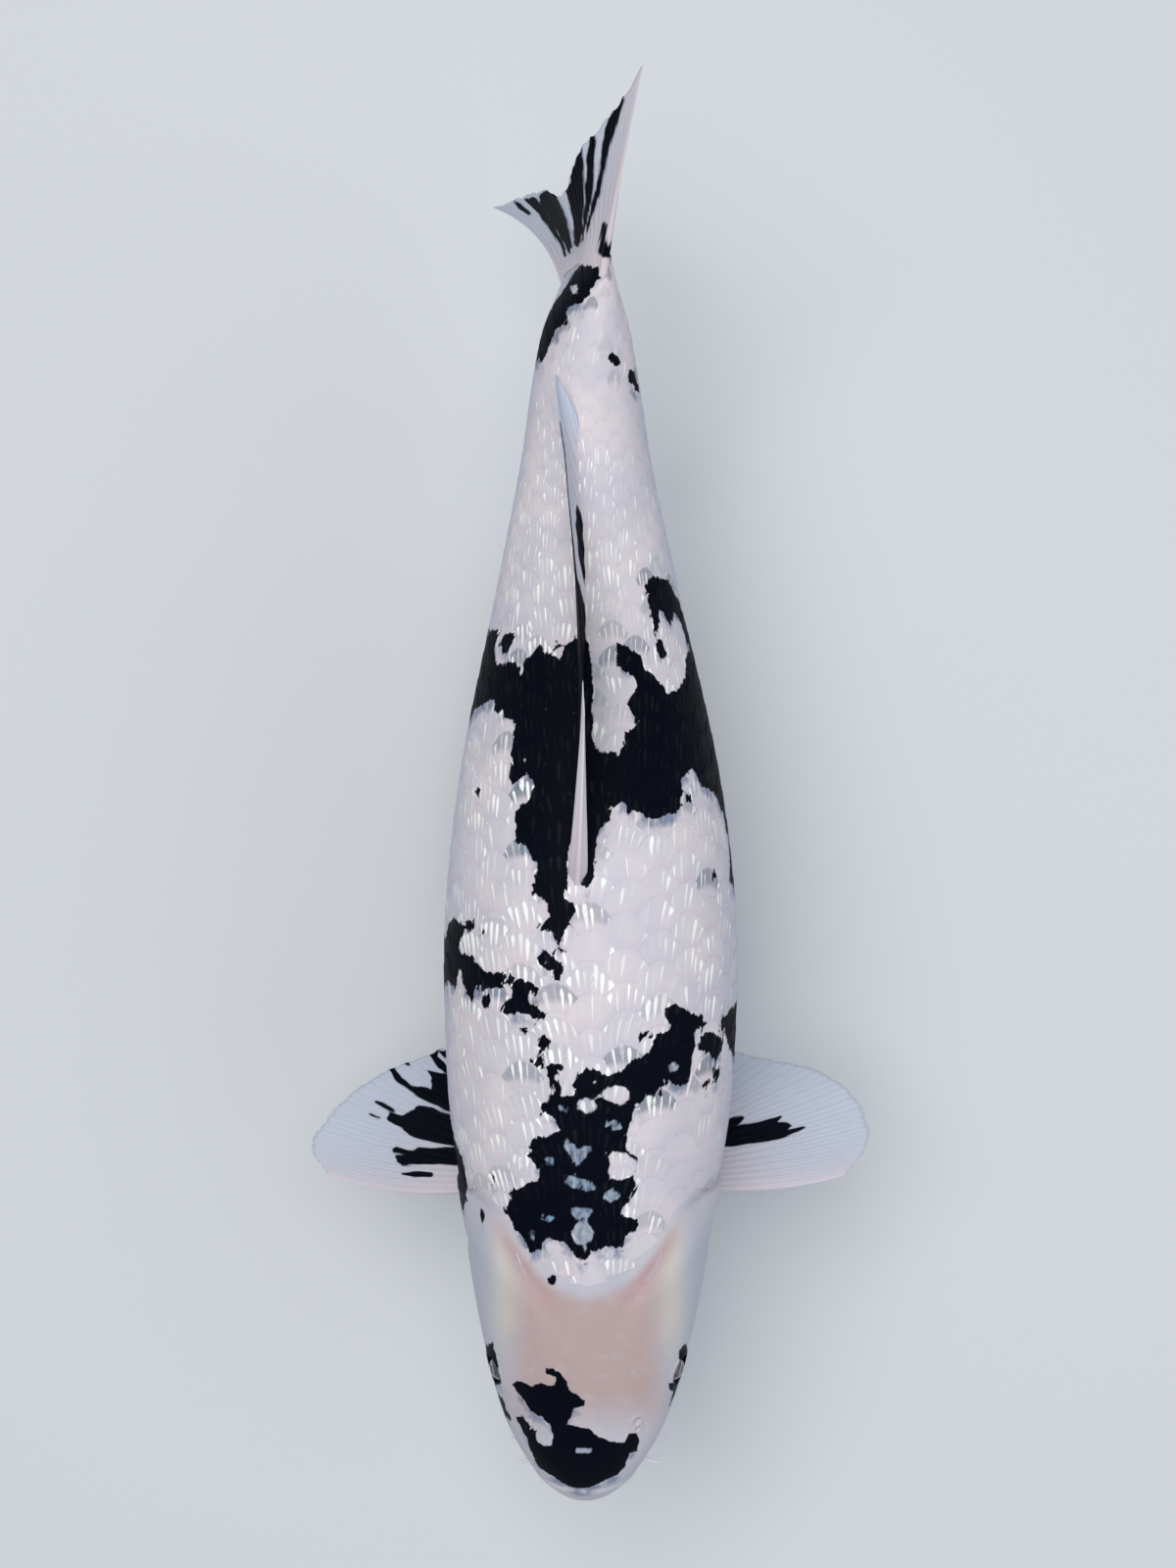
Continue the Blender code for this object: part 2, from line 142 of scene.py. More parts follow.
def in_table(table, row, column):
    """Reads a table between its rows and columns, which run from 0 to 1."""
    row = np.clip(row, 0, 1) * (table.shape[0] - 1)
    column = np.clip(column, 0, 1) * (table.shape[1] - 1)
    i = np.minimum(row.astype(int), table.shape[0] - 2)
    j = np.minimum(column.astype(int), table.shape[1] - 2)
    near = table[i, j] * (1 - column + j) + table[i, j + 1] * (column - j)
    far = table[i + 1, j] * (1 - column + j) + table[i + 1, j + 1] * (column - j)
    return near * (1 - row + i) + far * (row - i)


def body_place(along, around):
    """Places on the body's surface, in metres."""
    along, around = np.broadcast_arrays(np.asarray(along, float), np.asarray(around, float))
    turn = in_table(turn_table, np.sqrt(np.clip(along, 0, 1)), np.abs(around))
    side, up = section(along, np.pi / 2 - turn)
    side = np.where(around < 0, -side, side)
    roll = tail_roll * soft_step(along, 0.86, 1.0)
    sway = body_sway * np.cos(2 * np.pi * (along - 0.45))
    x = side * np.cos(roll) + up * np.sin(roll) + sway
    z = up * np.cos(roll) - side * np.sin(roll)
    return np.stack([x * body_length, snout_y + along * body_length, axis_z + z * body_length], -1)


def body_normal(along, around):
    step = 0.002
    along = np.clip(along, 0.0005, 0.9995)
    towards_tail = body_place(along + step, around) - body_place(np.maximum(along - step, 1e-5), around)
    across = body_place(along, around + step) - body_place(along, around - step)
    normal = np.cross(across, towards_tail)
    return normal / np.maximum(np.linalg.norm(normal, axis=-1, keepdims=True), 1e-12)


# The edge of the scaleless head: how far out to the side, and how far along.
head_edge = np.array((
    (0, 0.188), (0.03, 0.200), (0.05, 0.222), (0.067, 0.246), (0.08, 0.258), (0.1, 0.2667), (0.12, 0.272),
))


def behind_head(along, around):
    """How far a place is behind the edge of the head, which is swept back at the sides."""
    turn = in_table(turn_table, np.sqrt(np.clip(along, 0, 1)), np.abs(around))
    side, _ = section(along, np.pi / 2 - turn)
    return (along - through(head_edge, np.abs(side))[..., 0]) * body_length


# The black patches of a Shiro Utsuri, plotted in millimetres on a plan of the fish as seen
# from a metre above it: to its left, and behind its snout. Points outside the plan's edge
# carry a patch on down the flank. The scales wear the same patches.

view_height = 1.0
view_behind = 0.30985  # the middle of the plan, behind the snout
plan_start = 0.3066  # the same distance as it shows on the plan, since the snout lies low

patches = {
    "snout": (
        (-10, 31.5), (-6, 31.5), (1, 30), (4, 26.5), (10, 24.5), (15.5, 24), (18, 28), (20.5, 28.5),
        (22, 25), (21, 20.5), (17.5, 20), (16, 14.5), (13, 11), (7, 8), (0, 5), (-5, 4.5), (-10, 6.5),
        (-18.5, 12), (-22, 15.5), (-24.5, 20), (-26.5, 26), (-31, 35), (-28.5, 36), (-24.5, 32),
        (-25, 30), (-22, 29.5), (-22, 26), (-19.5, 23), (-16, 23), (-15, 28),
    ),
    "forehead": (
        (-18.5, 56.5), (-16, 56), (-11.5, 54), (-9, 50.5), (-8.5, 46.5), (-4.5, 44.5), (-1.5, 42),
        (-2, 40), (-6, 39), (-7.5, 35), (-10.5, 30), (-15, 27), (-16.5, 32), (-19.5, 35.5),
        (-24.5, 38), (-27.5, 42.5), (-33, 50), (-29, 51), (-24, 48.5), (-20.5, 50.5), (-17, 48.5),
        (-14, 49.5), (-14, 52.5), (-18.5, 54),
    ),
    "right_eye": ((-41, 67.5), (-38, 56), (-36.5, 50), (-41, 47), (-45, 50), (-47, 60), (-43, 66.5)),
    "right_cheek": ((-39.5, 48), (-37, 44), (-32.5, 33.5), (-36, 35.5), (-40, 42)),
    "left_eye": (
        (41.5, 66.5), (44, 60), (43, 52), (38.5, 45), (35, 40.5), (36.5, 46), (34.5, 47.5), (34.5, 50.5),
        (37, 50.5), (38.5, 57), (39, 64),
    ),
    "right_gill": ((-53.5, 120), (-60, 128), (-68, 145), (-68, 160), (-59, 162), (-54, 146), (-51.5, 128)),
    "nape": (
        (-3, 184), (0, 184.5), (9, 181.5), (16, 184), (24, 182), (24, 171), (19, 168), (18, 162),
        (14, 155), (16.5, 151), (14, 149.5), (20.5, 146), (20, 138), (19.5, 131), (14.5, 125.5),
        (14.5, 121), (20, 119.5), (21.5, 116), (16.5, 112.5), (15, 106.5), (10, 108), (2, 106), (-2, 100),
        (-7.5, 106), (-11, 110), (-16, 111.5), (-20, 110), (-20, 106.5), (-25, 106), (-26, 110),
        (-32.5, 118), (-36.5, 124.5), (-33, 127), (-33.5, 133), (-30, 131.5), (-21, 136), (-20.5, 140),
        (-23, 144.5), (-27.5, 147), (-23.5, 151), (-23.5, 154.5), (-20, 154.5), (-11.5, 158.5),
        (-15.5, 163), (-19.5, 167), (-17.5, 171.5), (-13, 174), (-11, 172.5), (-7.5, 172), (-5, 175.5),
        (-7.5, 179), (-3.5, 179.5),
    ),
    "shoulder": (
        (10, 181), (15, 182.5), (18, 187.5), (23, 188.5), (28, 195), (28, 200), (33, 200), (35.5, 202.5),
        (32, 209.5), (36, 212), (40, 211), (45, 208), (49, 207.5), (51, 204), (49.5, 201.5), (45, 202),
        (46, 194), (44, 187), (42.5, 177.5), (38, 177.5), (34, 182), (32, 182), (32.5, 172), (30, 173),
        (27, 171.5), (24.5, 174), (24, 170), (21, 170.5), (16, 176.5), (12, 178),
    ),
    "shoulder_side": (
        (50.5, 200), (56, 198.5), (58, 195), (57, 191.5), (54, 187), (52, 191.5), (47.5, 194), (49, 198),
    ),
    "shoulder_nub": ((22, 199), (26, 199.5), (27, 196.5), (23, 196)),
    "shoulder_drop": ((53, 185.5), (57, 185), (56.5, 181.5), (54, 179), (53, 182)),
    "shoulder_speck": ((49, 179), (52, 180), (51.5, 177), (49.5, 175)),
    "left_flank": (
        (70, 216), (78, 206), (76, 186), (68, 182), (62, 190), (59.5, 198), (58.5, 205), (61, 210),
    ),
    "left_flank_line": ((57.5, 210), (58.5, 205), (57, 198), (56.5, 202)),
    "right_flank": (
        (-59.5, 247.5), (-57.5, 249), (-55, 246), (-48, 249.5), (-50, 243), (-54, 242), (-55.5, 235),
        (-49.5, 233.5), (-47, 227.5), (-42.5, 225.5), (-33, 225.5), (-30.5, 223), (-27, 223.5),
        (-20, 221), (-18.5, 218), (-25, 215), (-26.5, 213), (-19, 208.5), (-20, 205.5), (-24, 207.5),
        (-29, 209), (-35.5, 207), (-39.5, 210.5), (-35, 211.5), (-32.5, 215.5), (-34, 220), (-43, 220.5),
        (-48, 220), (-50.5, 214), (-52.5, 218), (-54, 219.5), (-55.5, 229.5), (-57, 219), (-59.5, 222),
        (-70, 214), (-78, 226), (-73, 244), (-61, 241),
    ),
    "flank_blot": ((-46, 215.5), (-43, 216), (-41.5, 212), (-44, 211)),
    "flank_dot": ((-46.5, 243.5), (-44.5, 244), (-44, 241.5), (-46, 240.5)),
    "back_hook": (
        (-20.5, 235.5), (-17.5, 235.5), (-16.5, 232), (-12, 229), (-11, 223), (-14.5, 222.5),
        (-16.5, 227.5), (-20.5, 231),
    ),
    "back_chain": ((-18, 186), (-15, 186), (-14, 181), (-11.5, 177), (-11, 172), (-15.5, 172), (-17, 179)),
    "right_saddle": (
        (-46, 372), (-41.5, 373), (-37.5, 373), (-40, 366), (-40, 360), (-38, 358.5), (-32.5, 359.5),
        (-30, 357), (-29.5, 352), (-28, 357.5), (-23, 365), (-19, 367.5), (-18, 363), (-15.5, 361),
        (-11, 360), (-10, 364), (-5, 369.5), (0, 369), (1.5, 350), (1.5, 320), (-1, 300), (-4, 296),
        (-9, 270), (-9, 259), (-5.5, 254.5), (-5, 251), (-8, 246.5), (-10.5, 245), (-11, 238.5),
        (-9, 234), (-13.5, 238), (-14, 242.5), (-16.5, 245.5), (-20.5, 242.5), (-21.5, 246.5),
        (-17, 248), (-16, 251), (-19, 257), (-24, 260), (-23, 266), (-21, 272), (-24, 275), (-26, 280.5),
        (-32, 281), (-30.5, 287), (-31.5, 294), (-28, 298), (-24.5, 301), (-24, 307), (-26.5, 312.5),
        (-29, 308), (-33, 308), (-33.5, 320), (-31.5, 333.5), (-36, 334.5), (-37, 338), (-40, 337.5),
        (-40, 344.5), (-43, 342), (-58, 330), (-66, 336), (-66, 352), (-56, 366),
    ),
    "right_loin": ((-31, 371.5), (-35.5, 370.5), (-38, 366.5), (-36.5, 362.5), (-33, 366)),
    "left_saddle": (
        (12, 367.5), (14.5, 367), (22, 361.5), (24, 356), (30, 351.5), (34, 345.5), (37, 345),
        (41, 349), (42.5, 354), (42, 361), (44.5, 367), (48, 360), (60, 352), (72, 330), (74, 300),
        (70, 268), (64, 262), (61, 264), (60.5, 282), (58, 294), (53, 304), (49, 306.5), (47, 312),
        (43.5, 313), (40, 309.5), (39.5, 303), (40, 297.5), (36.5, 294), (29, 291), (25, 292), (21, 296),
        (17.5, 291), (16, 298.5), (8.5, 296.5), (10.5, 290), (5, 288), (2, 268), (-0.5, 262), (-4, 274),
        (-3, 285), (0, 318), (2, 322), (5.5, 318.5), (9, 320), (14.5, 318.5), (16.5, 325), (15, 328.5),
        (22.5, 333.5), (18.5, 336.5), (16.5, 343), (21, 346), (20, 353), (12, 358),
    ),
    "left_loin": (
        (29, 395.5), (34.5, 393), (40, 383), (44.5, 367), (42.5, 367), (39.5, 378), (37, 381),
        (35.5, 373.5), (33, 379), (31, 382), (30.5, 372), (28.5, 372), (27.5, 381), (25.5, 386),
        (25.5, 392.5),
    ),
    "left_loin_drop": ((29.5, 369.5), (32, 368), (33.5, 363), (32.5, 360.5), (29.5, 365)),
    "tail_stem": (
        (-19.5, 488), (-27, 492), (-26, 506), (-17, 513), (-12.5, 518), (-6, 526), (-3.5, 530),
        (0, 531.5), (1.5, 527), (4, 528), (7, 534.5), (8.5, 533.5), (7, 527.5), (1, 519), (-1, 514),
        (-9, 510), (-8.5, 503.5), (-13.5, 502.5), (-16, 496),
    ),
    "tail_comma": ((17.5, 485), (19.5, 483.5), (22, 477), (21.5, 474.5), (17.5, 479)),
    "tail_brow": ((7, 489.5), (10, 491), (13.5, 489), (13.5, 486.5), (9.5, 487.5)),
}
# Small round blots: to the left, behind the snout, half width, half length.
blots = (
    (-45, 122, 1.5, 3), (-40, 136.5, 1.5, 2.5), (-15.3, 94.1, 2, 2.4), (-47.5, 303.5, 1.5, 1.5),
    (43.5, 300.5, 1.5, 1.5), (54, 267.5, 1.5, 1.5), (-28.3, 200.5, 1.5, 1.2), (-13.3, 366.3, 1, 1.2),
    (-19, 195.8, 2.2, 2.4), (-22.4, 187, 2.4, 1.8), (-12.5, 184.5, 1.2, 1.2), (-21.3, 165, 1, 1),
)
# Windows in the patches, where a scale stayed clear, with how white each is.
windows = (
    (0.15, ((-11.5, 153), (-9, 155), (-4, 150), (1, 152.5), (3, 151), (-1, 146.5), (-4.5, 142.5), (-7, 146))),
    (0.1, ((-10.5, 138), (-6, 138.5), (4, 135.5), (4, 133.5), (1, 131.5), (-10, 134))),
    (0.15, ((-8.5, 125), (1, 125), (2.5, 122.5), (-1, 120), (-4.5, 119.5), (-7.5, 122.5))),
    (0.4, ((-3, 118.5), (0, 118), (2.5, 114), (2, 110), (-3, 108.5), (-6, 110), (-8, 114), (-6, 116.5))),
    (0.2, ((5, 161), (9, 163), (14, 162), (15, 158), (9, 158))),
    (0.2, ((5.5, 129.5), (8, 132.5), (14.5, 132.5), (15, 130), (10, 126.5))),
    (1.0, ((7, 150), (16, 148.5), (21, 145), (21, 139), (13, 136.5), (8, 138), (9, 144))),
    (0.7, ((-4.5, 172), (-1, 172.5), (4, 171), (3.5, 166), (0, 164), (-2, 166.5), (-5, 166))),
    (0.1, ((-14.5, 170), (-11, 170.5), (-8.5, 166.5), (-10, 163.5), (-12, 167))),
    (0.05, ((-19, 146), (-16, 147.5), (-13.5, 145), (-15.5, 142), (-18.5, 143.5))),
    (0.0, ((-21, 120), (-19.5, 123), (-14, 120.5), (-16, 118))),
    (0.2, ((-26, 116.5), (-22, 114), (-23.5, 109.5), (-25.5, 112))),
    (0.9, ((4, 173), (8, 177.5), (15, 177.5), (19.5, 173), (15.5, 168), (10, 170))),
    (0.5, ((40, 187.5), (39, 184), (36, 183), (34, 185), (36, 187.5))),
    (0.3, ((-29, 317.5), (-25.5, 317.5), (-25.5, 314.5), (-28.5, 314))),
    (0.1, ((-18, 274), (-15.5, 275.5), (-15.5, 271), (-17.5, 271))),
    (0.9, ((-8, 520), (-5, 521), (-3.5, 517), (-6.5, 516.5))),
    (0.5, ((-5.5, 22), (1.5, 22), (2, 20), (-5, 20))),
)
# Bright flecks in the black, each a millimetre or two across.
flecks = (
    (-19, 338.5), (-7, 337.5), (-31.5, 356), (-20.3, 309.3), (-2, 105.5), (3.3, 179), (55, 195),
    (35.3, 182.5), (-11.5, 334),
)
fleck_reach = 0.9  # millimetres from its middle


def on_plan(places):
    """Where places show on the plan, in millimetres."""
    nearness = 1 - (places[..., 2] - axis_z) / view_height
    left = places[..., 0] / nearness
    behind = (places[..., 1] - snout_y - view_behind) / nearness + plan_start
    return np.stack([left, behind], -1) / mm


def flattened(along, around):
    """The skin peeled off and laid flat: millimetres from the back's middle, and from the snout."""
    return np.stack([around * half_girth(along), along * body_length], -1) / mm


# Samples all over the upper skin, to find what shows at a point of the plan.
sample_along, sample_around = np.meshgrid(
    np.linspace(0.0005, 1, 800), np.linspace(-0.47, 0.47, 231), indexing="ij"
)
sample_plan = on_plan(body_place(sample_along, sample_around))


def nearest_sample(left, behind):
    away = np.hypot(sample_plan[..., 0] - left, sample_plan[..., 1] - behind)
    return np.unravel_index(away.argmin(), away.shape)


def off_plan(points):
    """Points of the plan carried onto the skin and flattened with it. One that is past the
    plan's edge goes three times as far down the flank."""
    flat = []
    for left, behind in points:
        nearest = nearest_sample(left, behind)
        spot = flattened(sample_along[nearest], sample_around[nearest])
        over = max(abs(left) - abs(sample_plan[nearest][0]) - 0.8, 0)
        flat.append(spot + (np.sign(left) * 3 * over, 0))
    return np.array(flat)


def inside_outline(points, outline, reach=15):
    """How far inside an outline points are, in millimetres, and less than 0 outside it."""
    depth = np.full(len(points), -float(reach))
    low, high = outline.min(0) - reach, outline.max(0) + reach
    near = ((points > low) & (points < high)).all(1)
    spots, start, end = points[near, None], outline, np.roll(outline, -1, axis=0)
    step = end - start
    share = np.clip(((spots - start) * step).sum(-1) / (step**2).sum(-1), 0, 1)
    gap = np.linalg.norm(spots - start - share[..., None] * step, axis=-1).min(1)
    crosses = (start[:, 1] > spots[..., 1]) != (end[:, 1] > spots[..., 1])
    rise = np.where(step[:, 1] == 0, 1, step[:, 1])
    meets = start[:, 0] + (spots[..., 1] - start[:, 1]) / rise * step[:, 0]
    odd = (crosses & (spots[..., 0] < meets)).sum(1) % 2 == 1
    depth[near] = np.maximum(np.where(odd, gap, -gap), -reach)
    return depth


def inside_oval(points, middle, across, length):
    """About how far inside an oval points are, in millimetres."""
    return (1 - np.hypot(*((points - middle) / (across, length)).T)) * min(across, length)


flat_patches = [off_plan(points) for points in patches.values()]
flat_blots = [(off_plan([(left, behind)])[0], wide, long) for left, behind, wide, long in blots]
flat_windows = [off_plan(points) for _, points in windows]
flat_flecks = off_plan(flecks)


def black_depth(flat):
    """How deep in a black patch each flattened point is, in millimetres."""
    depths = [inside_outline(flat, outline) for outline in flat_patches]
    depths += [inside_oval(flat, *blot) for blot in flat_blots]
    return np.maximum.reduce(depths)


def head_tints(along, around):
    """The soft colours of the head, with painted shade low on its sides and in the gill openings. All fade
    out where the scales begin.
    """
    left, back = on_plan(body_place(along, around)).T
    behind = behind_head(along, around) / mm
    out, low = np.abs(left), np.abs(around)
    on_top = (low < 0.5) * soft_step(behind, 3, -5)
    return {
        "peach": soft_step(out, 40, 22) * soft_step(back, 24, 48) * on_top,
        "pink": bell(behind + 7, 7) * soft_step(out, 10, 20) * soft_step(out, 44, 34) * on_top,
        # painted shade and blue reflection, where the sides of the head turn down away from the light
        "cheek": soft_step(out, 34, 48) * soft_step(behind, 2, -26),
        # painted shade: a dark line in the gill opening, where the gap behind the cover lies in shadow
        "gill": soft_step(low, 0.20, 0.34) * bell(behind - 1.0, 1.7) * soft_step(low, 0.95, 0.8),
        "cover": bell(out - 35, 6) * soft_step(back, 56, 80) * soft_step(back, 128, 110) * on_top,
    }


def markings(along, around):
    """What a vertex of skin or scale needs to know of the markings, by attribute name."""
    flat = flattened(along, around)
    window_depths = np.array(
        [inside_outline(flat, outline) for outline in flat_windows]
        + [inside_oval(flat, middle, fleck_reach, fleck_reach) for middle in flat_flecks]
    )
    whites = np.array([white for white, _ in windows] + [1.0] * len(flecks))
    return {
        "black": black_depth(flat),
        # Pigment that shows blue-grey through the scale in front of it.
        "veiled": black_depth(flat + (0, 5.5)),
        "window": window_depths.max(0),
        "window_white": whites[window_depths.argmax(0)],
        "low_side": soft_step(np.abs(around), 0.25, 0.5),
        **head_tints(along, around),
    }


def store(bm, values):
    """Gives each vertex its numbers, by attribute name."""
    for name, numbers in values.items():
        layer = bm.verts.layers.float.new(name)
        for vert, number in zip(bm.verts, numbers):
            vert[layer] = number


skin_depth = 0.5  # how far inside the plain body the skin lies under the scales, in millimetres
head_depth = 0.05  # and on the head
nostrils = [(left, behind, hole) for left in (21, -24.5) for behind, hole in ((30.5, 1.3), (34.0, 1.8))]


def plan_spot(left, behind):
    """The place in space of one point of the plan."""
    nearest = nearest_sample(left, behind)
    return body_place(sample_along[nearest], sample_around[nearest])


nostril_spots = [(plan_spot(left, behind), hole) for left, behind, hole in nostrils]
eye_spots = [np.array(place) for place in eye_places.values()]


def distance(places, spot):
    """From places to one spot, in millimetres."""
    return np.linalg.norm(places - spot, axis=1) / mm


def relief(along, around, places):
    """How far the skin stands out from the plain body, in millimetres."""
    behind = behind_head(along, around) / mm
    flank = soft_step(np.abs(around), 0.26, 0.42)
    out = -head_depth - (skin_depth - head_depth) * soft_step(behind, -1.0, 5.0)

    # Gill covers: a firm plate that ends in a soft edge over the gill opening.
    cover = soft_step(behind, -30, -3) * soft_step(behind, 0.9, -1.5)
    gap = soft_step(behind, -1.5, 0.9) * soft_step(behind, 9.0, 1.5)
    out += flank * (1.1 * cover - 1.9 * gap)
    out -= 0.9 * flank * bell(behind + 31 - 12 * np.abs(around), 3.2)  # in front of the plate
    out -= 0.35 * flank * bell(behind + 6, 1.4)
    ribs = np.sin(60 * (np.abs(around) - 0.5) * (1 + 0.02 * behind))
    out += 0.10 * flank * ribs * cover

    # Mouth, seen from the side: a line that falls towards the corner, with a lip each side.
    up = (places[:, 2] - axis_z) / body_length
    below = (up + 0.0310 + 0.2829 * along) * body_length / mm
    mouth = 1 - soft_step(along, 0.040, 0.050)
    out += mouth * (0.9 * bell(np.abs(below) - 2.4, 2.0) - 1.9 * bell(below, 0.5))
    lip = ((along - 0.0165) * 0.8137 + (up - 0.0065) * 0.5812) * body_length / mm
    upper = soft_step(below, 0.5, 2.0)
    out += upper * mouth * (0.35 * bell(lip + 3.0, 2.2) - 0.7 * bell(lip, 0.9))
    lower = soft_step(-below, 3.0, 4.5) * soft_step(along, 0.075, 0.050)
    out -= 0.6 * lower * bell(below + 6.5, 1.2)

    # The skull's edge, a soft furrow on each side from behind the eyes to the shoulders.
    left, back = on_plan(places).T
    course = 15 + 23 * soft_step(back, 72, 116)
    out -= 0.8 * bell(np.abs(left) - course, 4.5) * soft_step(back, 66, 82) * soft_step(back, 124, 112)
    out += 0.5 * bell(np.abs(left) - course - 9, 6) * soft_step(back, 70, 90) * soft_step(back, 126, 112)

    for spot, hole in nostril_spots:
        near = distance(places, spot)
        out += 0.55 * bell(near - hole - 0.5, 0.6) - 1.8 * soft_step(near, hole, hole * 0.45)
    for spot in eye_spots:
        outward = places - spot
        axis = np.array((np.sign(spot[0]), -0.16, 0.20))
        axis /= np.linalg.norm(axis)
        ahead = outward @ axis
        near = distance(outward, ahead[:, None] * axis)
        near[ahead < 0] = 99
        out += 0.5 * bell(near - 7.3, 1.1) - 4.2 * soft_step(near, 6.3, 5.3)

    # Fleshy roots of the paired fins, and the vent.
    for root, tall, wide in (((0.262, 0.66), 1.6, 11), ((0.487, 0.84), 1.0, 8)):
        for side in (1, -1):
            middle = body_place(root[0], side * root[1])
            out += tall * bell(distance(places, middle), wide)
    out += 0.8 * bell(distance(places, body_place(0.757, 1.0)), 4)
    return out


skin = bmesh.new()
bmesh.ops.create_grid(skin, x_segments=232, y_segments=250, size=1)


def on_sheet(bm):
    """Place along and place around of each vertex, while the sheet of skin is still flat."""
    flat = np.array([vert.co for vert in bm.verts])
    share = (flat[:, 1] + 1) / 2
    head_end, head_share = 0.26, 0.52  # the head is a quarter of the length and half of the rows
    along = np.where(
        share < head_share,
        head_end * (share / head_share) ** 1.5,
        head_end + (1 - head_end) * (share - head_share) / (1 - head_share),
    )
    return along, flat[:, 0]


along, around = on_sheet(skin)
places = body_place(along, around)
# The mesh is finer round the eyes and nostrils.
fine = np.zeros(len(places), bool)
for spot, reach in [(spot, 10.5) for spot in eye_spots] + [(spot, 4.0) for spot, _ in nostril_spots]:
    fine |= distance(places, spot) < reach
fine_edges = [e for e in skin.edges if fine[e.verts[0].index] and fine[e.verts[1].index]]
bmesh.ops.subdivide_edges(skin, edges=fine_edges, cuts=1, use_grid_fill=True)
skin.verts.index_update()

along, around = on_sheet(skin)
places = body_place(along, around)
out = relief(along, around, places)
placed = places + body_normal(along, around) * out[:, None] * mm
unwrap = skin.loops.layers.uv.new("OFBake")
for face in skin.faces:
    for loop in face.loops:
        index = loop.vert.index
        loop[unwrap].uv = (0.5 + 0.49 * around[index], 0.01 + 0.98 * along[index])
for vert, place in zip(skin.verts, placed):
    vert.co = place
store(skin, markings(along, around))
bmesh.ops.remove_doubles(skin, verts=skin.verts, dist=1e-6)
ends = bmesh.ops.holes_fill(skin, edges=[e for e in skin.edges if e.is_boundary], sides=0)["faces"]
bmesh.ops.poke(skin, faces=ends)
bmesh.ops.recalc_face_normals(skin, faces=skin.faces)


def show(name, data):
    """Adds a mesh, lamp or camera to the scene."""
    shown = bpy.data.objects.new(name, data)
    bpy.context.scene.collection.objects.link(shown)
    return shown


def new_mesh(name, bm, material):
    """Makes a bmesh a mesh, shaded smooth."""
    mesh = bpy.data.meshes.new(name)
    bm.to_mesh(mesh)
    bm.free()
    mesh.shade_smooth()
    mesh.materials.append(material)
    return mesh


def new_piece(name, mesh):
    """Adds a piece of the model, which rides on its one body."""
    piece = show(name, mesh)
    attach(piece, "root")
    return piece


def new_material(name, **sockets):
    """A Principled material, its sockets set by name with _ for a space."""
    material = bpy.data.materials.new(name)
    material.use_nodes = True
    shader = material.node_tree.nodes["Principled BSDF"]
    for socket, value in sockets.items():
        shader.inputs[socket.replace("_", " ")].default_value = value
    return material


class Shade:
    """A number or colour that a material's shader works out. Arithmetic on it adds nodes."""

    def __init__(self, material, socket):
        self.material, self.socket = material, socket

    def maths(self, operation, other=0.0):
        return node(self.material, "Math", {0: self, 1: other}, operation=operation)

    __add__ = partialmethod(maths, "ADD")
    __sub__ = partialmethod(maths, "SUBTRACT")
    __mul__ = partialmethod(maths, "MULTIPLY")
    __truediv__ = partialmethod(maths, "DIVIDE")
    __pow__ = partialmethod(maths, "POWER")
    __abs__ = partialmethod(maths, "ABSOLUTE")

    def step(self, low, high):
        """0 at low, 1 at high, and a soft step between. It steps down where high is the lesser."""
        inputs = {"Value": self, "From Min": low, "From Max": high}
        return node(self.material, "MapRange", inputs, "Result", interpolation_type="SMOOTHSTEP")

    def blend(self, first, second):
        """One colour where this is 0, and another where it is 1."""
        return node(self.material, "Mix", {0: self, 6: first, 7: second}, 2, data_type="RGBA")

    def tinted(self, share, colour):
        """This colour, with a share of another laid over it."""
        return node(self.material, "Mix", {0: share, 6: self, 7: colour}, 2, data_type="RGBA")

    def parts(self, kind):
        """The three numbers of a vector or a colour."""
        first = node(self.material, "Separate" + kind, {0: self})
        return [Shade(self.material, socket) for socket in first.socket.node.outputs]

    def feed(self, socket):
        """Links this to a socket of its material's shader."""
        tree = self.material.node_tree
        tree.links.new(self.socket, tree.nodes["Principled BSDF"].inputs[socket])


def node(material, kind, inputs, output=0, **settings):
    """Adds a node, links or sets its inputs by number or name, and gives its output."""
    made = material.node_tree.nodes.new("ShaderNode" + kind)
    for setting, value in settings.items():
        setattr(made, setting, value)
    for key, value in inputs.items():
        if isinstance(value, Shade):
            material.node_tree.links.new(value.socket, made.inputs[key])
        else:
            made.inputs[key].default_value = value
    return Shade(material, made.outputs[output])


def read(material, name):
    return node(material, "Attribute", {}, "Fac", attribute_name=name)


def noise(material, sizes, detail=2.0, rough=0.5, place=None):
    """Noise from 0 to 1 with features of about this size in metres, or of these along X, Y and Z."""
    place = place or node(material, "TexCoord", {}, "Object")
    scales = 1 / np.broadcast_to(sizes, 3)
    fitted = node(material, "VectorMath", {0: place, 1: scales}, operation="MULTIPLY")
    return node(material, "TexNoise", {"Vector": fitted, "Scale": 1.0, "Detail": detail, "Roughness": rough})


def finish(colour, roughness, height, strength, distance):
    """Links colour, roughness and bump to a material's shader."""
    colour.feed("Base Color")
    roughness.feed("Roughness")
    bump = {"Strength": strength, "Distance": distance, "Height": height}
    node(colour.material, "Bump", bump, "Normal").feed("Normal")


black_ink = (0.0018, 0.0028, 0.0065, 1)
veiled_ink = (0.10, 0.15, 0.26, 1)


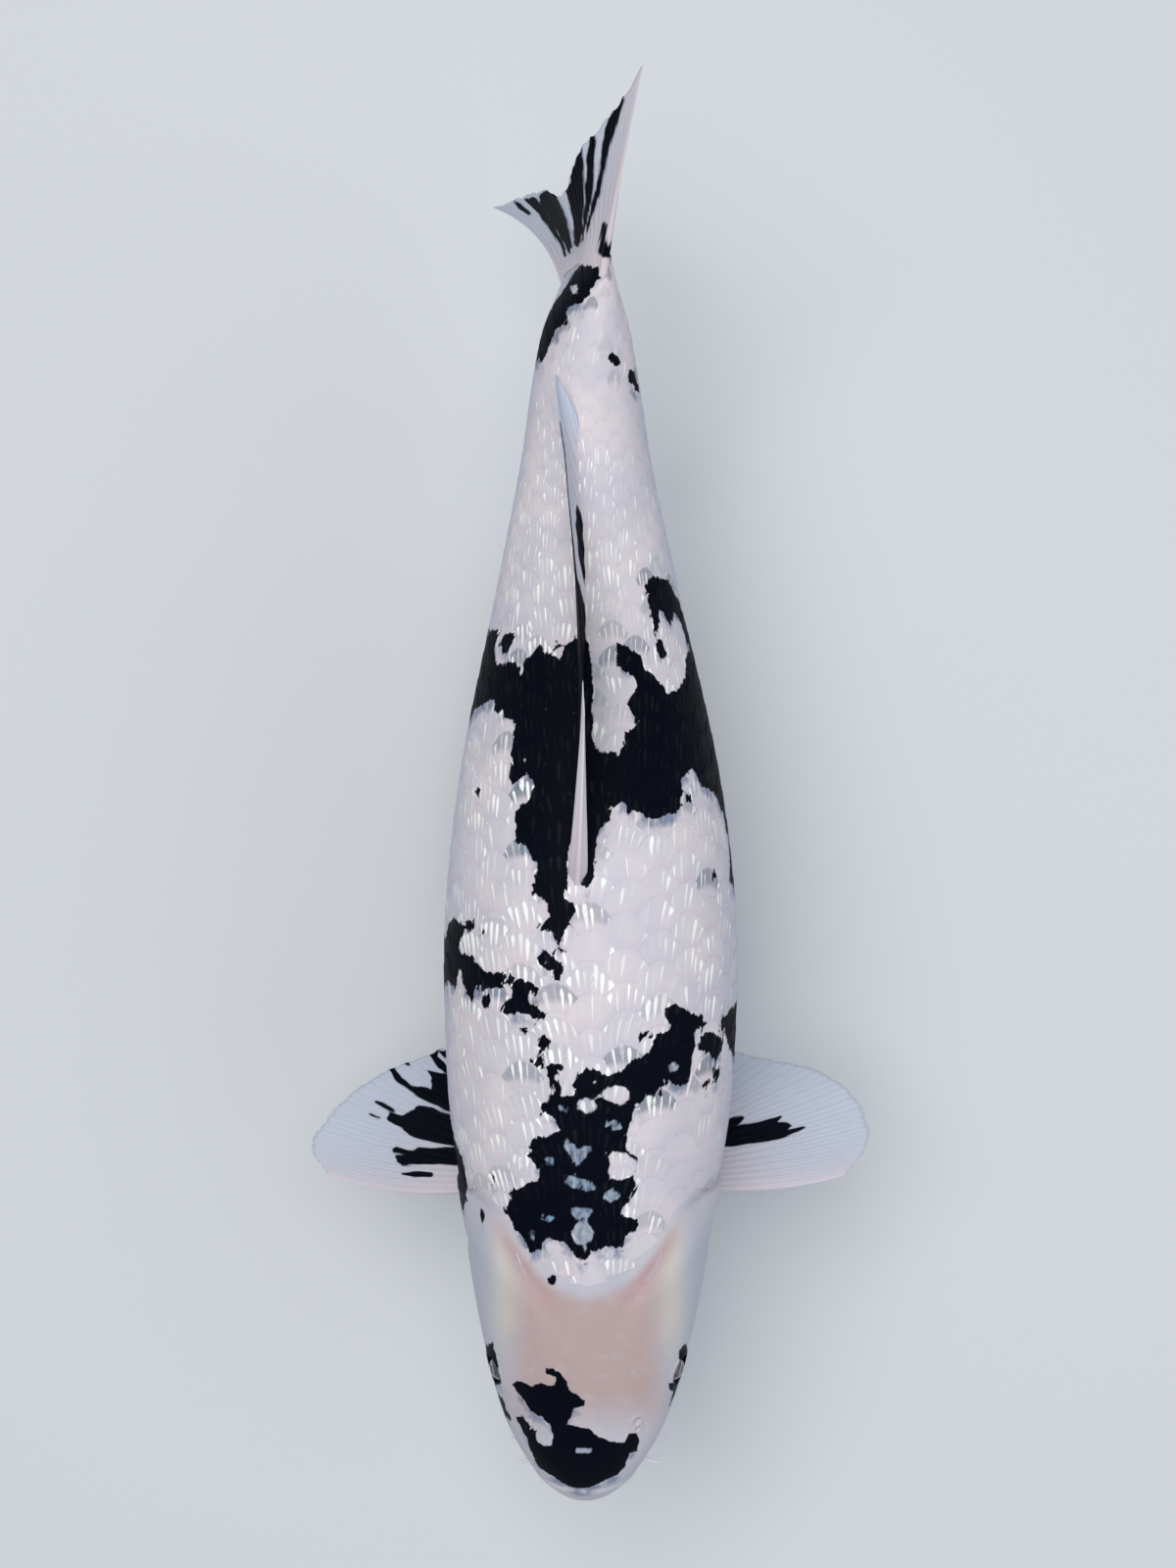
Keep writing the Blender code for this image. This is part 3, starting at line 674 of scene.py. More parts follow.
def marked(ground, wild, shift=0.0, glint=None):
    """Lays the black patches over a ground colour, with edges as wild as is asked for, in
    millimetres. Gives the colour, and where it is black."""
    material = ground.material
    ragged = noise(material, (0.0020, 0.0042, 0.0020), 2.5, 0.55) - 0.5
    lobed = noise(material, (0.0095, 0.012, 0.0095), 1.0) - 0.5
    wander = ragged * (read(material, "low_side") * 6.0 + wild) + lobed * 1.8 + shift
    broken = noise(material, (0.005, 0.008, 0.005)).step(0.35, 0.57)
    veil = (wander + read(material, "veiled")).step(0.0, 3.5) * broken * 0.7
    is_black = (wander + read(material, "black")).step(-0.25, 0.25)
    coloured = ground.tinted(veil, veiled_ink).tinted(is_black, black_ink)
    is_window = (ragged * 1.6 + read(material, "window")).step(-0.2, 0.6) * is_black
    glass = ragged.step(-0.16, 0.14).blend((0.035, 0.065, 0.12, 1), (0.19, 0.28, 0.38, 1))
    if glint:
        glass = glass.tinted(glint * 0.35, (0.6, 0.65, 0.7, 1))
    glass = glass.tinted(read(material, "window_white"), ground)
    return coloured.tinted(is_window, glass), is_black - is_window


def white_ground(material, low, high):
    """The white of the body, clouded, with the soft colours and painted shade of the head where it has them.
    """
    ground = noise(material, (0.022, 0.030, 0.022), 3.0).step(0.35, 0.65).blend(low, high)
    for tint, share, colour in (
        # painted shade and blue reflection low on the sides of the head
        ("cheek", 0.75, (0.41, 0.44, 0.515, 1)),
        ("cover", 0.80, (0.60, 0.57, 0.49, 1)),
        ("peach", 1.00, (0.45, 0.345, 0.335, 1)),
        ("pink", 0.62, (0.52, 0.33, 0.35, 1)),
        # painted shade in the gill opening
        ("gill", 0.75, (0.15, 0.12, 0.15, 1)),
    ):
        ground = ground.tinted(read(material, tint) * share, colour)
    return ground


wet_skin = new_material(
    "wet_skin",
    Subsurface_Weight=0.12,
    Subsurface_Scale=0.003,
    Subsurface_Radius=(1.0, 0.6, 0.5),
    Specular_IOR_Level=0.03,
)
ground = white_ground(wet_skin, (0.46, 0.46, 0.52, 1), (0.52, 0.50, 0.55, 1))
mottle = noise(wet_skin, 0.006, 4.0, 0.6).step(0.45, 0.75) * 0.15
colour, solid_black = marked(ground.tinted(mottle, (0.60, 0.57, 0.60, 1)), 2.0)
pores = noise(wet_skin, 0.0012, 2.0)
finish(colour, pores * 0.15 + solid_black * 0.10 + 0.28, pores, 0.12, 0.0003)

skin_piece = new_piece("skin", new_mesh("skin", skin, wet_skin))
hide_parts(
    "head", "upper_lip", "lower_jaw", "gill_cover_left", "gill_cover_right",
    "trunk_front", "trunk_middle", "trunk_rear", "tail_stem",
)

# ---- Scales ----
# Thirty rows of thin round-ended scales, rooted in the skin and lying back over each other
# like tiles, each half a place on from its neighbours. Many carry the bright streaks that
# make a gin-rin koi glitter.

scale_rows = 30
side_line_rows = (7, 23)
row_width = 2 / scale_rows  # in the measure round the body, where the whole girth is 2
# Along the body, and from one scale to the next in its row there, in millimetres.
scale_pitch = np.array((
    (0.10, 11.0), (0.25, 12.2), (0.45, 12.9), (0.65, 11.6), (0.85, 9.6), (1.0, 7.8),
))
scale_overlap = 1.75  # a scale's whole length, in pitches
scale_half_width = 0.70  # in rows
scale_thickness = 0.25  # millimetres
first_root = 0.155  # how far along the body
head_gap = 0.007  # at least this, in metres, from the edge of the head to a scale's free end
draw = np.random.default_rng(7)

scale = bmesh.new()
bmesh.ops.create_grid(scale, x_segments=7, y_segments=5, size=1)
rim = [edge for edge in scale.edges if edge.is_boundary]
walls = bmesh.ops.extrude_edge_only(scale, edges=rim)["geom"]
under = [part for part in walls if isinstance(part, bmesh.types.BMVert)]
bmesh.ops.translate(scale, verts=under, vec=(0, 0, -1))
bmesh.ops.holes_fill(scale, edges=[edge for edge in scale.edges if edge.is_boundary], sides=0)
bmesh.ops.recalc_face_normals(scale, faces=scale.faces)
scale.verts.index_update()
flat_scale = np.array([vert.co for vert in scale.verts])
scale_faces = [[vert.index for vert in face.verts] for face in scale.faces]
under_face = np.array([max(flat_scale[index][2] for index in face) < -0.5 for face in scale_faces])
rim_face = np.array([min(flat_scale[index][2] for index in face) < -0.5 for face in scale_faces])
scale.free()
across, from_root, layer = flat_scale[:, 0], (flat_scale[:, 1] + 1) / 2, flat_scale[:, 2]
across = np.sign(across) * (1 - (1 - np.abs(across)) ** 1.15)
from_root = np.interp(from_root, (0, 1 / 5, 1), (0, 0.38, 1))  # one long row where it is covered
tip_round = 1 - 0.30 * across**2
local_length = from_root * tip_round + 0.10 * (1 - from_root) * across**2
local_width = across * (0.72 + 0.28 * np.sqrt(np.clip(1 - (2 * from_root - 1.1) ** 2 / 1.3, 0, 1)))
# How far each corner stands above the plain body: rooted in the skin, and free at the end.
lift = -0.57 + 0.40 * from_root + 0.07 * (1 - across**2) + scale_thickness * layer  # millimetres



def pitch_at(along):
    """From one scale to the next, as a share of the body's length."""
    return np.interp(along, *scale_pitch.T) * mm / body_length


ladder = [first_root]
while ladder[-1] < 1.02:
    ladder.append(ladder[-1] + pitch_at(ladder[-1]))
ladder = np.array(ladder)
roots = []
for row in range(scale_rows):
    middle_round = row * row_width if row <= scale_rows // 2 else row * row_width - 2
    places_along = ladder[:-1] if row % 2 == 0 else (ladder[:-1] + ladder[1:]) / 2
    for place_along in places_along:
        pitch = pitch_at(place_along)
        free_end = place_along + pitch * scale_overlap
        clear_of_head = behind_head(np.array(free_end), np.array(middle_round)) > head_gap
        if clear_of_head and free_end < 1.0:
            roots.append((place_along, middle_round, pitch, row))
roots = np.array(roots)
jitter = draw.uniform(-1, 1, (len(roots), 2)) * (0.03, 0.02)


def scale_piece(name, chosen, round_span, material):
    """One joined mesh of the chosen scales. Its bake map is the skin's unwrap over round_span."""
    root_along, root_round, pitch, row = roots[chosen].T
    wobble = jitter[chosen]
    many, corners = len(root_along), len(flat_scale)
    reach = pitch * scale_overlap * (1 + 0.05 * draw.uniform(-1, 1, many))
    along = root_along[:, None] + (local_length + wobble[:, :1] * across * 2) * reach[:, None]
    aside = local_width * scale_half_width + wobble[:, 1:] * local_length
    around = root_round[:, None] + aside * row_width
    around = np.where(around > 1, around - 2, np.where(around < -1, around + 2, around))
    along, around = along.ravel(), around.ravel()
    inner = np.clip(along, 0.0005, 1.0)
    height = np.tile(lift, many) + np.repeat(0.02 * draw.uniform(-1, 1, many), corners)
    height -= 0.22 * soft_step(behind_head(inner, around) / mm, 20, 2)
    positions = body_place(inner, around) + body_normal(inner, around) * height[:, None] * mm
    positions[:, 1] += (along - inner) * body_length

    faces = [[index + corners * k for index in face] for k in range(many) for face in scale_faces]
    mesh = bpy.data.meshes.new(name)
    mesh.from_pydata(positions.tolist(), [], faces)
    mesh.materials.append(material)
    flat_faces = mesh.attributes.new("sharp_face", "BOOLEAN", "FACE")
    flat_faces.data.foreach_set("value", np.tile(rim_face, many))
    on_scale = mesh.uv_layers.new(name="OnScale")
    bake = mesh.uv_layers.new(name="OFBake")
    corner_place, corner_bake = [], []
    spread = np.where(layer < -0.5, 1.05, 1.0)
    for face, is_under in zip(scale_faces, under_face):
        for index in face:
            corner_place.append((0.5 + 0.5 * across[index], from_root[index]))
            patch = np.array((across[index], 2 * from_root[index] - 1)) * spread[index]
            # The hidden face takes a small patch beside the other one.
            corner_bake.append(patch * 0.03 + (1.1, -1.1) if is_under else patch)
    corner_place, corner_bake = np.array(corner_place), np.array(corner_bake)
    low, high = round_span
    map_start, map_length, patch_share = 0.15, 0.88, 0.40
    centre_along = (root_along + reach * 0.6 - map_start) / map_length
    centre = np.stack([(root_round - low) / (high - low), centre_along], 1)
    patch_size = np.array((row_width / (high - low), pitch.min() / map_length)) * patch_share
    on_scale.data.foreach_set("uv", np.tile(corner_place, (many, 1)).ravel())
    bake.data.foreach_set("uv", (0.02 + 0.96 * (centre[:, None] + corner_bake * patch_size)).ravel())

    near_black = bell(black_depth(flattened(root_along + reach * 0.75, root_round)) + 2, 4)
    # How much painted glint a scale's streaks carry: less on the flanks, towards the tail, near the head and
    # on much of the left.
    glitter = draw.uniform(0.15, 0.9, many) + 0.3 * near_black
    glitter -= 1.1 * soft_step(np.abs(root_round), 0.30, 0.56)
    glitter -= 0.6 * soft_step(root_along, 0.76, 0.88) + 0.12 * (root_round > 0)
    glitter -= 0.3 * (behind_head(root_along + reach, root_round) < 0.016)
    glitter -= 0.35 * (root_round > 0.10) * soft_step(root_along, 0.40, 0.26)
    whole_scale = {
        "glitter": glitter,
        "smoky": near_black * draw.choice((0, 0.3, 1), many),
        "chance": draw.uniform(0, 1, many),
        "slant": draw.uniform(-1, 1, many) - 0.5 * np.sign(root_round),
        "side_line": np.isin(row, side_line_rows),
    }
    values = {key: np.repeat(numbers, corners) for key, numbers in whole_scale.items()}
    for key, numbers in {**markings(inner, around), **values}.items():
        attribute = mesh.attributes.new(key, "FLOAT", "POINT")
        attribute.data.foreach_set("value", np.asarray(numbers, dtype=np.float32))
    piece = new_piece(name, mesh)


bright_scale = new_material(
    "bright_scale", Subsurface_Weight=0.10, Subsurface_Scale=0.002, Specular_IOR_Level=0.03
)
on_scale = node(bright_scale, "UVMap", {}, uv_map="OnScale")
u, v, _ = on_scale.parts("XYZ")
chance, glitter, slant = (read(bright_scale, name) for name in ("chance", "glitter", "slant"))

# Bright streaks side by side, each with a length, width, place and strength of its own: the gin-rin deposits
# of the scales, their sparkle painted into the colour as a glint.
strip = (u - 0.5) * ((v - 0.66) * -0.55 + 1.0) + slant * (v - 0.66) * 0.20
strip = strip * 6.2 + chance * 60.0
pick = node(bright_scale, "CombineXYZ", {0: strip.maths("FLOOR"), 1: chance * 977.0})
dice = node(bright_scale, "TexWhiteNoise", {"Vector": pick}, "Color", noise_dimensions="3D").parts("Color")
off_middle = abs(dice[2] * 0.44 + strip.maths("FRACT") - 0.72)
half_length = dice[1] * 0.15 + 0.11
run = (v - (dice[2] * -0.16 + 0.98 - half_length)) / half_length
taper = (run * run * -1.0 + 1.0).maths("MAXIMUM") ** 0.4
flashy = glitter.step(0.7, 1.1)
half_width = (flashy * 0.15 + dice[0] ** 1.5 * 0.30 + 0.05) * (run * 0.45 + 0.75) * taper
toss = ((dice[0] + dice[2]) * 13.0).maths("FRACT")
streak = (half_width - off_middle).step(-0.06, 0.07) * (glitter - toss * 0.95).step(-0.30, 0.30)

inner_scale = v.step(0.50, 0.70) * v.step(0.99, 0.90)
pore = abs(u - 0.5).step(0.045, 0.01) * v.step(0.60, 0.70) * v.step(0.88, 0.80)
ground = white_ground(bright_scale, (0.56, 0.52, 0.57, 1), (0.65, 0.575, 0.60, 1))
for share, tint in (
    # painted shade and blue reflection on the lower flanks
    (read(bright_scale, "low_side") * 0.8, (0.44, 0.47, 0.60, 1)),
    # painted shade between the bright streaks of the flashiest scales
    (inner_scale * flashy * 0.3, (0.36, 0.36, 0.43, 1)),
    (inner_scale * read(bright_scale, "smoky") * 0.8, (0.17, 0.19, 0.24, 1)),
    (chance.step(0.0, 1.0) * 0.12, (0.72, 0.68, 0.70, 1)),
    # painted shadow on each scale's root, where the scale in front overlaps it
    (v.step(0.60, 0.40) * 0.16, (0.36, 0.37, 0.50, 1)),
    (pore * read(bright_scale, "side_line") * 0.55, (0.20, 0.21, 0.28, 1)),
    # the gin-rin streaks, with a painted glint
    (streak, (0.95, 0.93, 0.88, 1)),
):
    ground = ground.tinted(share, tint)
colour, solid_black = marked(ground, 4.2, chance * 1.5 - 0.55, streak)
# a faint painted glint of the streaks on the black
colour = colour.tinted(streak * solid_black * 0.012, (0.60, 0.60, 0.62, 1))
waves = {"Vector": on_scale, "Scale": 5.0, "Distortion": 1.0}
rings = node(bright_scale, "TexWave", waves, "Fac", bands_direction="Y")
roughness = streak * -0.14 + solid_black * 0.18 + 0.40
finish(colour, roughness, rings * 0.15 + streak, 0.15, 0.0002)

quarters = {
    "scales_back_left": (0.0, 0.5), "scales_belly_left": (0.5, 1.07),
    "scales_back_right": (-0.5, 0.0), "scales_belly_right": (-1.0, -0.5),
}
for name, (low, high) in quarters.items():
    chosen = (roots[:, 1] >= low - 1e-9) & (roots[:, 1] < high - 1e-9)
    scale_piece(name, chosen, (low - row_width, high + row_width), bright_scale)

# ---- Fins ----
# Thin skin stretched over a fan of bony rays, which branch towards the rim. Each is thick and
# fleshy where it is rooted in the body. A ray is given as its place in the fan, its root, its
# tip and how far its middle bows, with each spot as side, along and up.

fin_rays = {
    "dorsal_fin": (
        (0.00, -0.009, 0.493, 0.120, -0.001, 0.630, 0.204, 0.0, -0.012, 0.012),
        (0.12, -0.007, 0.536, 0.118, -0.004, 0.670, 0.191, 0.0, -0.010, 0.010),
        (0.35, -0.004, 0.617, 0.105, -0.010, 0.737, 0.157, 0.0, -0.006, 0.007),
        (0.70, -0.001, 0.737, 0.075, -0.016, 0.828, 0.110, -0.002, -0.002, 0.004),
        (0.90, 0.000, 0.800, 0.058, -0.026, 0.895, 0.077, -0.003, 0.002, 0.003),
        (1.00, 0.000, 0.830, 0.052, -0.010, 0.868, 0.062, 0.000, 0.002, 0.002),
    ),
    "caudal_fin": (
        (0.00, 0.011, 0.972, 0.0535, 0.0425, 1.1160, 0.1355, 0.000, 0.004, 0.006),
        (0.17, 0.009, 0.978, 0.0330, 0.0165, 1.0920, 0.0935, 0.000, 0.002, 0.002),
        (0.34, 0.005, 0.980, 0.0160, -0.0060, 1.0790, 0.0580, 0.000, 0.0, 0.001),
        (0.50, 0.000, 0.980, 0.0000, -0.0205, 1.0560, 0.0040, 0.002, 0.0, 0.0),
        (0.66, -0.005, 0.980, -0.0160, -0.0348, 1.0710, -0.0470, 0.004, 0.001, -0.001),
        (0.83, -0.010, 0.978, -0.0330, -0.0540, 1.0800, -0.1000, 0.008, 0.004, -0.004),
        (1.00, -0.016, 0.974, -0.0535, -0.0850, 1.0855, -0.1730, 0.011, 0.012, -0.006),
    ),
    "anal_fin": (
        (0.00, 0.000, 0.770, -0.066, 0.004, 0.868, -0.186, 0.0, 0.010, 0.000),
        (0.20, 0.000, 0.787, -0.062, 0.005, 0.893, -0.172, 0.0, 0.008, 0.000),
        (0.60, 0.000, 0.814, -0.056, 0.004, 0.903, -0.132, 0.0, 0.005, 0.000),
        (1.00, 0.000, 0.839, -0.050, 0.002, 0.905, -0.098, 0.0, 0.002, 0.000),
    ),
    "pectoral_fin_left": (
        (0.00, 0.066, 0.2430, -0.0800, 0.2160, 0.2520, -0.0850, 0.006, -0.0065, 0.006),
        (0.25, 0.066, 0.2550, -0.0840, 0.2380, 0.2790, -0.0920, 0.000, -0.0040, 0.006),
        (0.50, 0.066, 0.2670, -0.0880, 0.2330, 0.3080, -0.1010, 0.000, -0.0020, 0.006),
        (0.75, 0.066, 0.2780, -0.0920, 0.1960, 0.3370, -0.1110, 0.000, 0.0000, 0.004),
        (1.00, 0.066, 0.2890, -0.0960, 0.1240, 0.3530, -0.1190, 0.000, 0.0040, 0.002),
    ),
    "pectoral_fin_right": (
        (0.00, 0.066, 0.2430, -0.0800, 0.2190, 0.2530, -0.0850, 0.006, -0.0100, 0.006),
        (0.25, 0.066, 0.2550, -0.0840, 0.2350, 0.2770, -0.0920, 0.000, -0.0060, 0.006),
        (0.50, 0.066, 0.2670, -0.0880, 0.2170, 0.3050, -0.1010, 0.000, -0.0030, 0.006),
        (0.75, 0.066, 0.2780, -0.0920, 0.1760, 0.3350, -0.1110, 0.000, 0.0000, 0.004),
        (1.00, 0.066, 0.2890, -0.0960, 0.1240, 0.3560, -0.1190, 0.000, 0.0040, 0.002),
    ),
    "pelvic_fin": (
        (0.00, 0.050, 0.4780, -0.110, 0.0930, 0.5820, -0.166, 0.010, 0.004, -0.002),
        (0.35, 0.044, 0.4880, -0.114, 0.0880, 0.6080, -0.176, 0.006, 0.002, -0.004),
        (0.70, 0.038, 0.4980, -0.118, 0.0690, 0.6120, -0.180, 0.004, 0.000, -0.004),
        (1.00, 0.032, 0.5060, -0.122, 0.0480, 0.5900, -0.172, 0.002, 0.000, -0.004),
    ),
}
fin_rays["pelvic_fin_left"] = fin_rays["pelvic_fin_right"] = fin_rays.pop("pelvic_fin")

# Black on the fins that show from above, on the same plan as the patches of the body.
plan_patches = {
    "pectoral_fin_right": (
        (
            (-86, 185.5), (-83, 184.5), (-80, 180.5), (-75, 176.5), (-71, 176.5), (-67, 175.5),
            (-66.5, 180), (-69, 184), (-62, 182), (-51, 182), (-51, 164), (-60, 166.5), (-72, 172.5),
            (-82, 179.5),
        ),
        ((-82, 187.5), (-77.5, 189), (-76.5, 186), (-79, 187)),
        ((-69, 192), (-64.5, 193), (-65, 189.5), (-60, 185), (-60, 182), (-64, 185)),
        ((-63.5, 192), (-51, 192), (-51, 185.5), (-61, 189)),
        (
            (-51, 151), (-59, 152), (-76, 155.5), (-79, 159), (-86, 163), (-84.5, 166), (-80, 164.5),
            (-74.5, 166.5), (-73, 169), (-67, 167.5), (-60, 164.5), (-51, 162),
        ),
        ((-91, 170.5), (-87.5, 169.5), (-82, 166.5), (-84, 166)),
        ((-94, 165.5), (-89, 163.5), (-91, 163.5)),
        (
            (-51, 143.5), (-80.5, 143.5), (-82.5, 147), (-75, 147.5), (-84.5, 149), (-82, 151),
            (-76, 149), (-72, 150.5), (-51, 150.5),
        ),
        ((-80.5, 139.5), (-74, 140.5), (-67, 140), (-67, 138.5), (-74, 138)),
    ),
    "pectoral_fin_left": (
        (
            (93, 159.5), (84, 155.5), (76, 153.5), (63, 151.5), (50, 151), (50, 162), (60.5, 162.5),
            (66.5, 164.5), (66, 162), (62.5, 159.5), (76, 162), (83, 164.5), (80.5, 161.5), (86.5, 161),
            (87, 160), (85, 158), (90, 159),
        ),
    ),
    "caudal_fin": (
        (
            (-9.5, 563), (-7, 564), (-7, 569), (-5, 571.5), (-4.5, 580), (-2.5, 579.5), (-2, 560),
            (-2, 545), (-3.5, 537), (-5, 538), (-6, 549),
        ),
        ((2.5, 587.5), (3, 581), (1.5, 557), (-2, 539), (-0.5, 556), (0, 577)),
        ((15, 604), (15.5, 600), (9, 580), (5, 560), (0, 543), (5, 567), (7.5, 587), (11, 594.5)),
        (
            (-17.5, 561), (-14, 559), (-9, 548), (-6.5, 537), (-7.5, 534), (-9.5, 539), (-20, 555),
            (-20.5, 559),
        ),
        ((-26.5, 557), (-22.5, 558), (-15, 547), (-9, 536), (-9, 532.5), (-10.5, 537), (-20.5, 551)),
        ((-32, 556.5), (-29, 555), (-25, 551.5), (-25, 550.5), (-29.5, 553.5)),
        ((7.5, 547.5), (9, 547), (8.5, 540), (8.5, 531.5), (7, 534)),
    ),
}
# Black on the others, as hundredths of the way across the fan and out from the root.
fan_patches = {
    "dorsal_fin": (
        ((12, -5), (10, 40), (8, 102), (52, 104), (60, 98), (54, 60), (58, 30), (62, -5)),
        ((64, -5), (66, 40), (70, 46), (78, 34), (82, -5)),
        ((58, 97), (70, 98), (78, 100), (78, 104), (58, 104)),
    ),
    "anal_fin": (
        ((18, -5), (20, 40), (26, 52), (38, 44), (46, 20), (48, -5)),
        ((60, 40), (60, 80), (68, 84), (68, 44)),
    ),
    "pelvic_fin_left": (
        ((20, -5), (22, 30), (34, 44), (46, 26), (48, -5)),
    ),
    "pelvic_fin_right": (
        ((40, -5), (40, 46), (54, 58), (60, 30), (60, -5)),
        ((14, 30), (16, 60), (21, 58), (20, 30)),
    ),
}


columns_per_ray = 12
film_thickness = 0.28  # of the skin between two rays, in millimetres


def ray_ridges(across_rays, out):
    """1 on a ray and 0 midway between two. Each ray is whole near its root, and then forks."""
    forked = soft_step(out, 0.36, 0.56)
    whole = 0.5 - 0.5 * np.cos(2 * np.pi * across_rays)
    halves = 0.5 - 0.5 * np.cos(4 * np.pi * across_rays)
    return whole * (1 - forked) + (0.75 * halves + 0.25 * whole) * forked


def fin_piece(name, ray_count, root_thick, tip_notch, ripple, clear, nodes, fleshy=0.0, lead=0.0):
    """A fan of rays with the skin between them, closed all round. Its thickness at the root, its
    ripple, and what is added where it is fleshy and along its first ray are in millimetres."""
    fin = bmesh.new()
    bmesh.ops.create_grid(fin, x_segments=ray_count * columns_per_ray, y_segments=34, size=1)
    flat = np.array([vert.co for vert in fin.verts])
    across, out = (flat[:, 0] + 1) / 2, (flat[:, 1] + 1) / 2
    rays = np.array(fin_rays[name])
    rows = through(rays, across)
    root, tip, bow = rows[:, 0:3], rows[:, 3:6], rows[:, 6:9]
    ragged = np.random.default_rng(ray_count).uniform(0, 1, (2, 4 * ray_count + 4))
    uneven = np.interp(across * ray_count, np.arange(ray_count + 2), ragged[0, : ray_count + 2])
    uneven += np.interp(across * ray_count * 3.7, np.arange(4 * ray_count + 4), ragged[1])
    inner = soft_step(across, 0, 0.06) * soft_step(1 - across, 0, 0.06)
    rim = 1 - tip_notch * inner * uneven / 2
    reach = (out * (1 + (rim - 1) * soft_step(out, 0.5, 1.0)))[:, None]
    spots = root * (1 - reach) + tip * reach + bow * 4 * reach * (1 - reach)
    if name.endswith("right"):
        spots[:, 0] *= -1
    spots *= body_length
    spots[:, 1] += snout_y
    spots[:, 2] += axis_z
    next_tip = through(rays, np.clip(across + 0.01, 0, 1))[:, 3:6]
    last_tip = through(rays, np.clip(across - 0.01, 0, 1))[:, 3:6]
    facing = np.cross(tip - root, next_tip - last_tip)
    facing /= np.linalg.norm(facing, axis=1, keepdims=True)
    ridge = ray_ridges(across * ray_count, out)
    wave = ripple * out**1.5 * np.sin(across * 9.0 + 2.0 * out) * mm
    spots += facing * wave[:, None]
    for vert, spot in zip(fin.verts, spots):
        vert.co = spot
    thick = film_thickness + (root_thick - film_thickness) * (1 - out) ** 2.6
    thick += ridge * (0.75 - 0.6 * out) * soft_step(out, 0.02, 0.2)
    inside = soft_step(across, 0.02, 0.2) * soft_step(1 - across, 0.02, 0.2)
    thick += fleshy * inside * soft_step(out, 0.34, 0.05)
    thick += lead * soft_step(across, 0.10, 0) * (1 - out**2)
    edge = np.minimum(across, 1 - across) * ray_count
    thick *= 0.25 + 0.75 * soft_step(edge, 0.0, 0.25 + 0.06 * lead)
    thickest = root_thick + fleshy + lead + 1.2
    weights = fin.verts.layers.deform.verify()
    for vert, value in zip(fin.verts, thick / thickest):
        vert[weights][0] = value
    on_fan = name in fan_patches
    plan = np.stack([across, out], 1) * 100 if on_fan else on_plan(spots)
    outlines = (fan_patches if on_fan else plan_patches)[name]
    store(fin, {
        "across": across * ray_count,
        "out": out,
        "ridge": ridge,
        "black": np.maximum.reduce([inside_outline(plan, np.array(points, float)) for points in outlines]),
        "clear": clear * (1 - 0.85 * np.exp(-across * 14)),
        "lead": np.exp(-across * 8),
    })
    piece = new_piece(f"{name}_fan", new_mesh(name, fin, fin_skin))
    piece.vertex_groups.new(name="thickness")
    thickness = piece.modifiers.new("thickness", "SOLIDIFY")
    thickness.thickness = thickest * mm
    thickness.offset = 0
    thickness.vertex_group = "thickness"
    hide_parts(*nodes)


fin_skin = new_material("fin_skin", Specular_IOR_Level=0.03)
out, across_rays, ridge, clear = (read(fin_skin, name) for name in ("out", "across", "ridge", "clear"))
along_ray = node(fin_skin, "CombineXYZ", {0: across_rays, 1: out * 3.0})
ragged = node(fin_skin, "TexNoise", {"Vector": along_ray, "Scale": 2.2, "Detail": 2.0})
is_black = ((ragged - 0.3) * 2.0 + read(fin_skin, "black")).step(-0.35, 0.35)
colour = out.step(0.0, 0.8).blend((0.60, 0.52, 0.55, 1), (0.50, 0.56, 0.68, 1))
colour = colour.tinted(ridge * 0.4, (0.68, 0.65, 0.70, 1))
colour = colour.tinted(read(fin_skin, "lead") * 0.8, (0.66, 0.58, 0.61, 1)).tinted(is_black, black_ink)
segments = node(fin_skin, "TexWave", {"Vector": along_ray, "Scale": 9.0}, "Fac", bands_direction="Y")
finish(colour, is_black * 0.15 + 0.42, segments * ridge, 0.2, 0.0002)
see_through = out.step(0.05, 0.75) * clear * (ridge * -0.35 + 1.0) * (is_black * -0.95 + 1.0)
(see_through * -1.0 + 1.0).feed("Alpha")

fin_piece("dorsal_fin", 20, 3.0, 0.05, 0.8, 0.05, ["dorsal_fin"], lead=7.0)
tail_nodes = ["caudal_fin_upper", "caudal_fin_lower"]
fin_piece("caudal_fin", 19, 3.6, 0.06, 1.0, 0.5, tail_nodes, fleshy=7.0)
fin_piece("anal_fin", 7, 2.6, 0.06, 0.6, 0.4, ["anal_fin"])
for side in ("left", "right"):
    fin_piece(f"pectoral_fin_{side}", 16, 4.6, 0.030, 1.6, 0.5, [f"pectoral_fin_{side}"])
    fin_piece(f"pelvic_fin_{side}", 9, 3.0, 0.04, 0.8, 0.4, [f"pelvic_fin_{side}"])

# ---- Eyes ----
# Glass eyes as on a museum model, set in the sockets of the skin: a black pupil in a thin
# bright ring and a dark mottled iris, under a clear coat that bulges over the pupil.

eye_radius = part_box("eye_left")[1].z - eye_places["left"].z
eye_glass = new_material("eye_glass", Coat_Weight=1.0, Coat_Roughness=0.03, Specular_IOR_Level=0.3)
# Measured in degrees from its middle, the pupil ends at 25, the bright ring at 31 and the iris
# at about 57.
turned = read(eye_glass, "turned")
fleck = noise(eye_glass, 0.0007, 3.0, 0.7)
ring = turned.step(24, 26) * turned.step(33, 29) * fleck.step(0.25, 0.55)
iris = fleck.step(0.40, 0.65).blend((0.02, 0.02, 0.03, 1), (0.12, 0.12, 0.14, 1))
iris = iris.tinted(ring, (0.30, 0.28, 0.24, 1))
iris = iris.tinted(turned.step(25.5, 24), (0.002, 0.002, 0.003, 1))
iris = iris.tinted(turned.step(52, 62), (0.012, 0.014, 0.022, 1))
finish(iris, fleck * 0.1 + 0.2, fleck, 0.05, 0.0001)

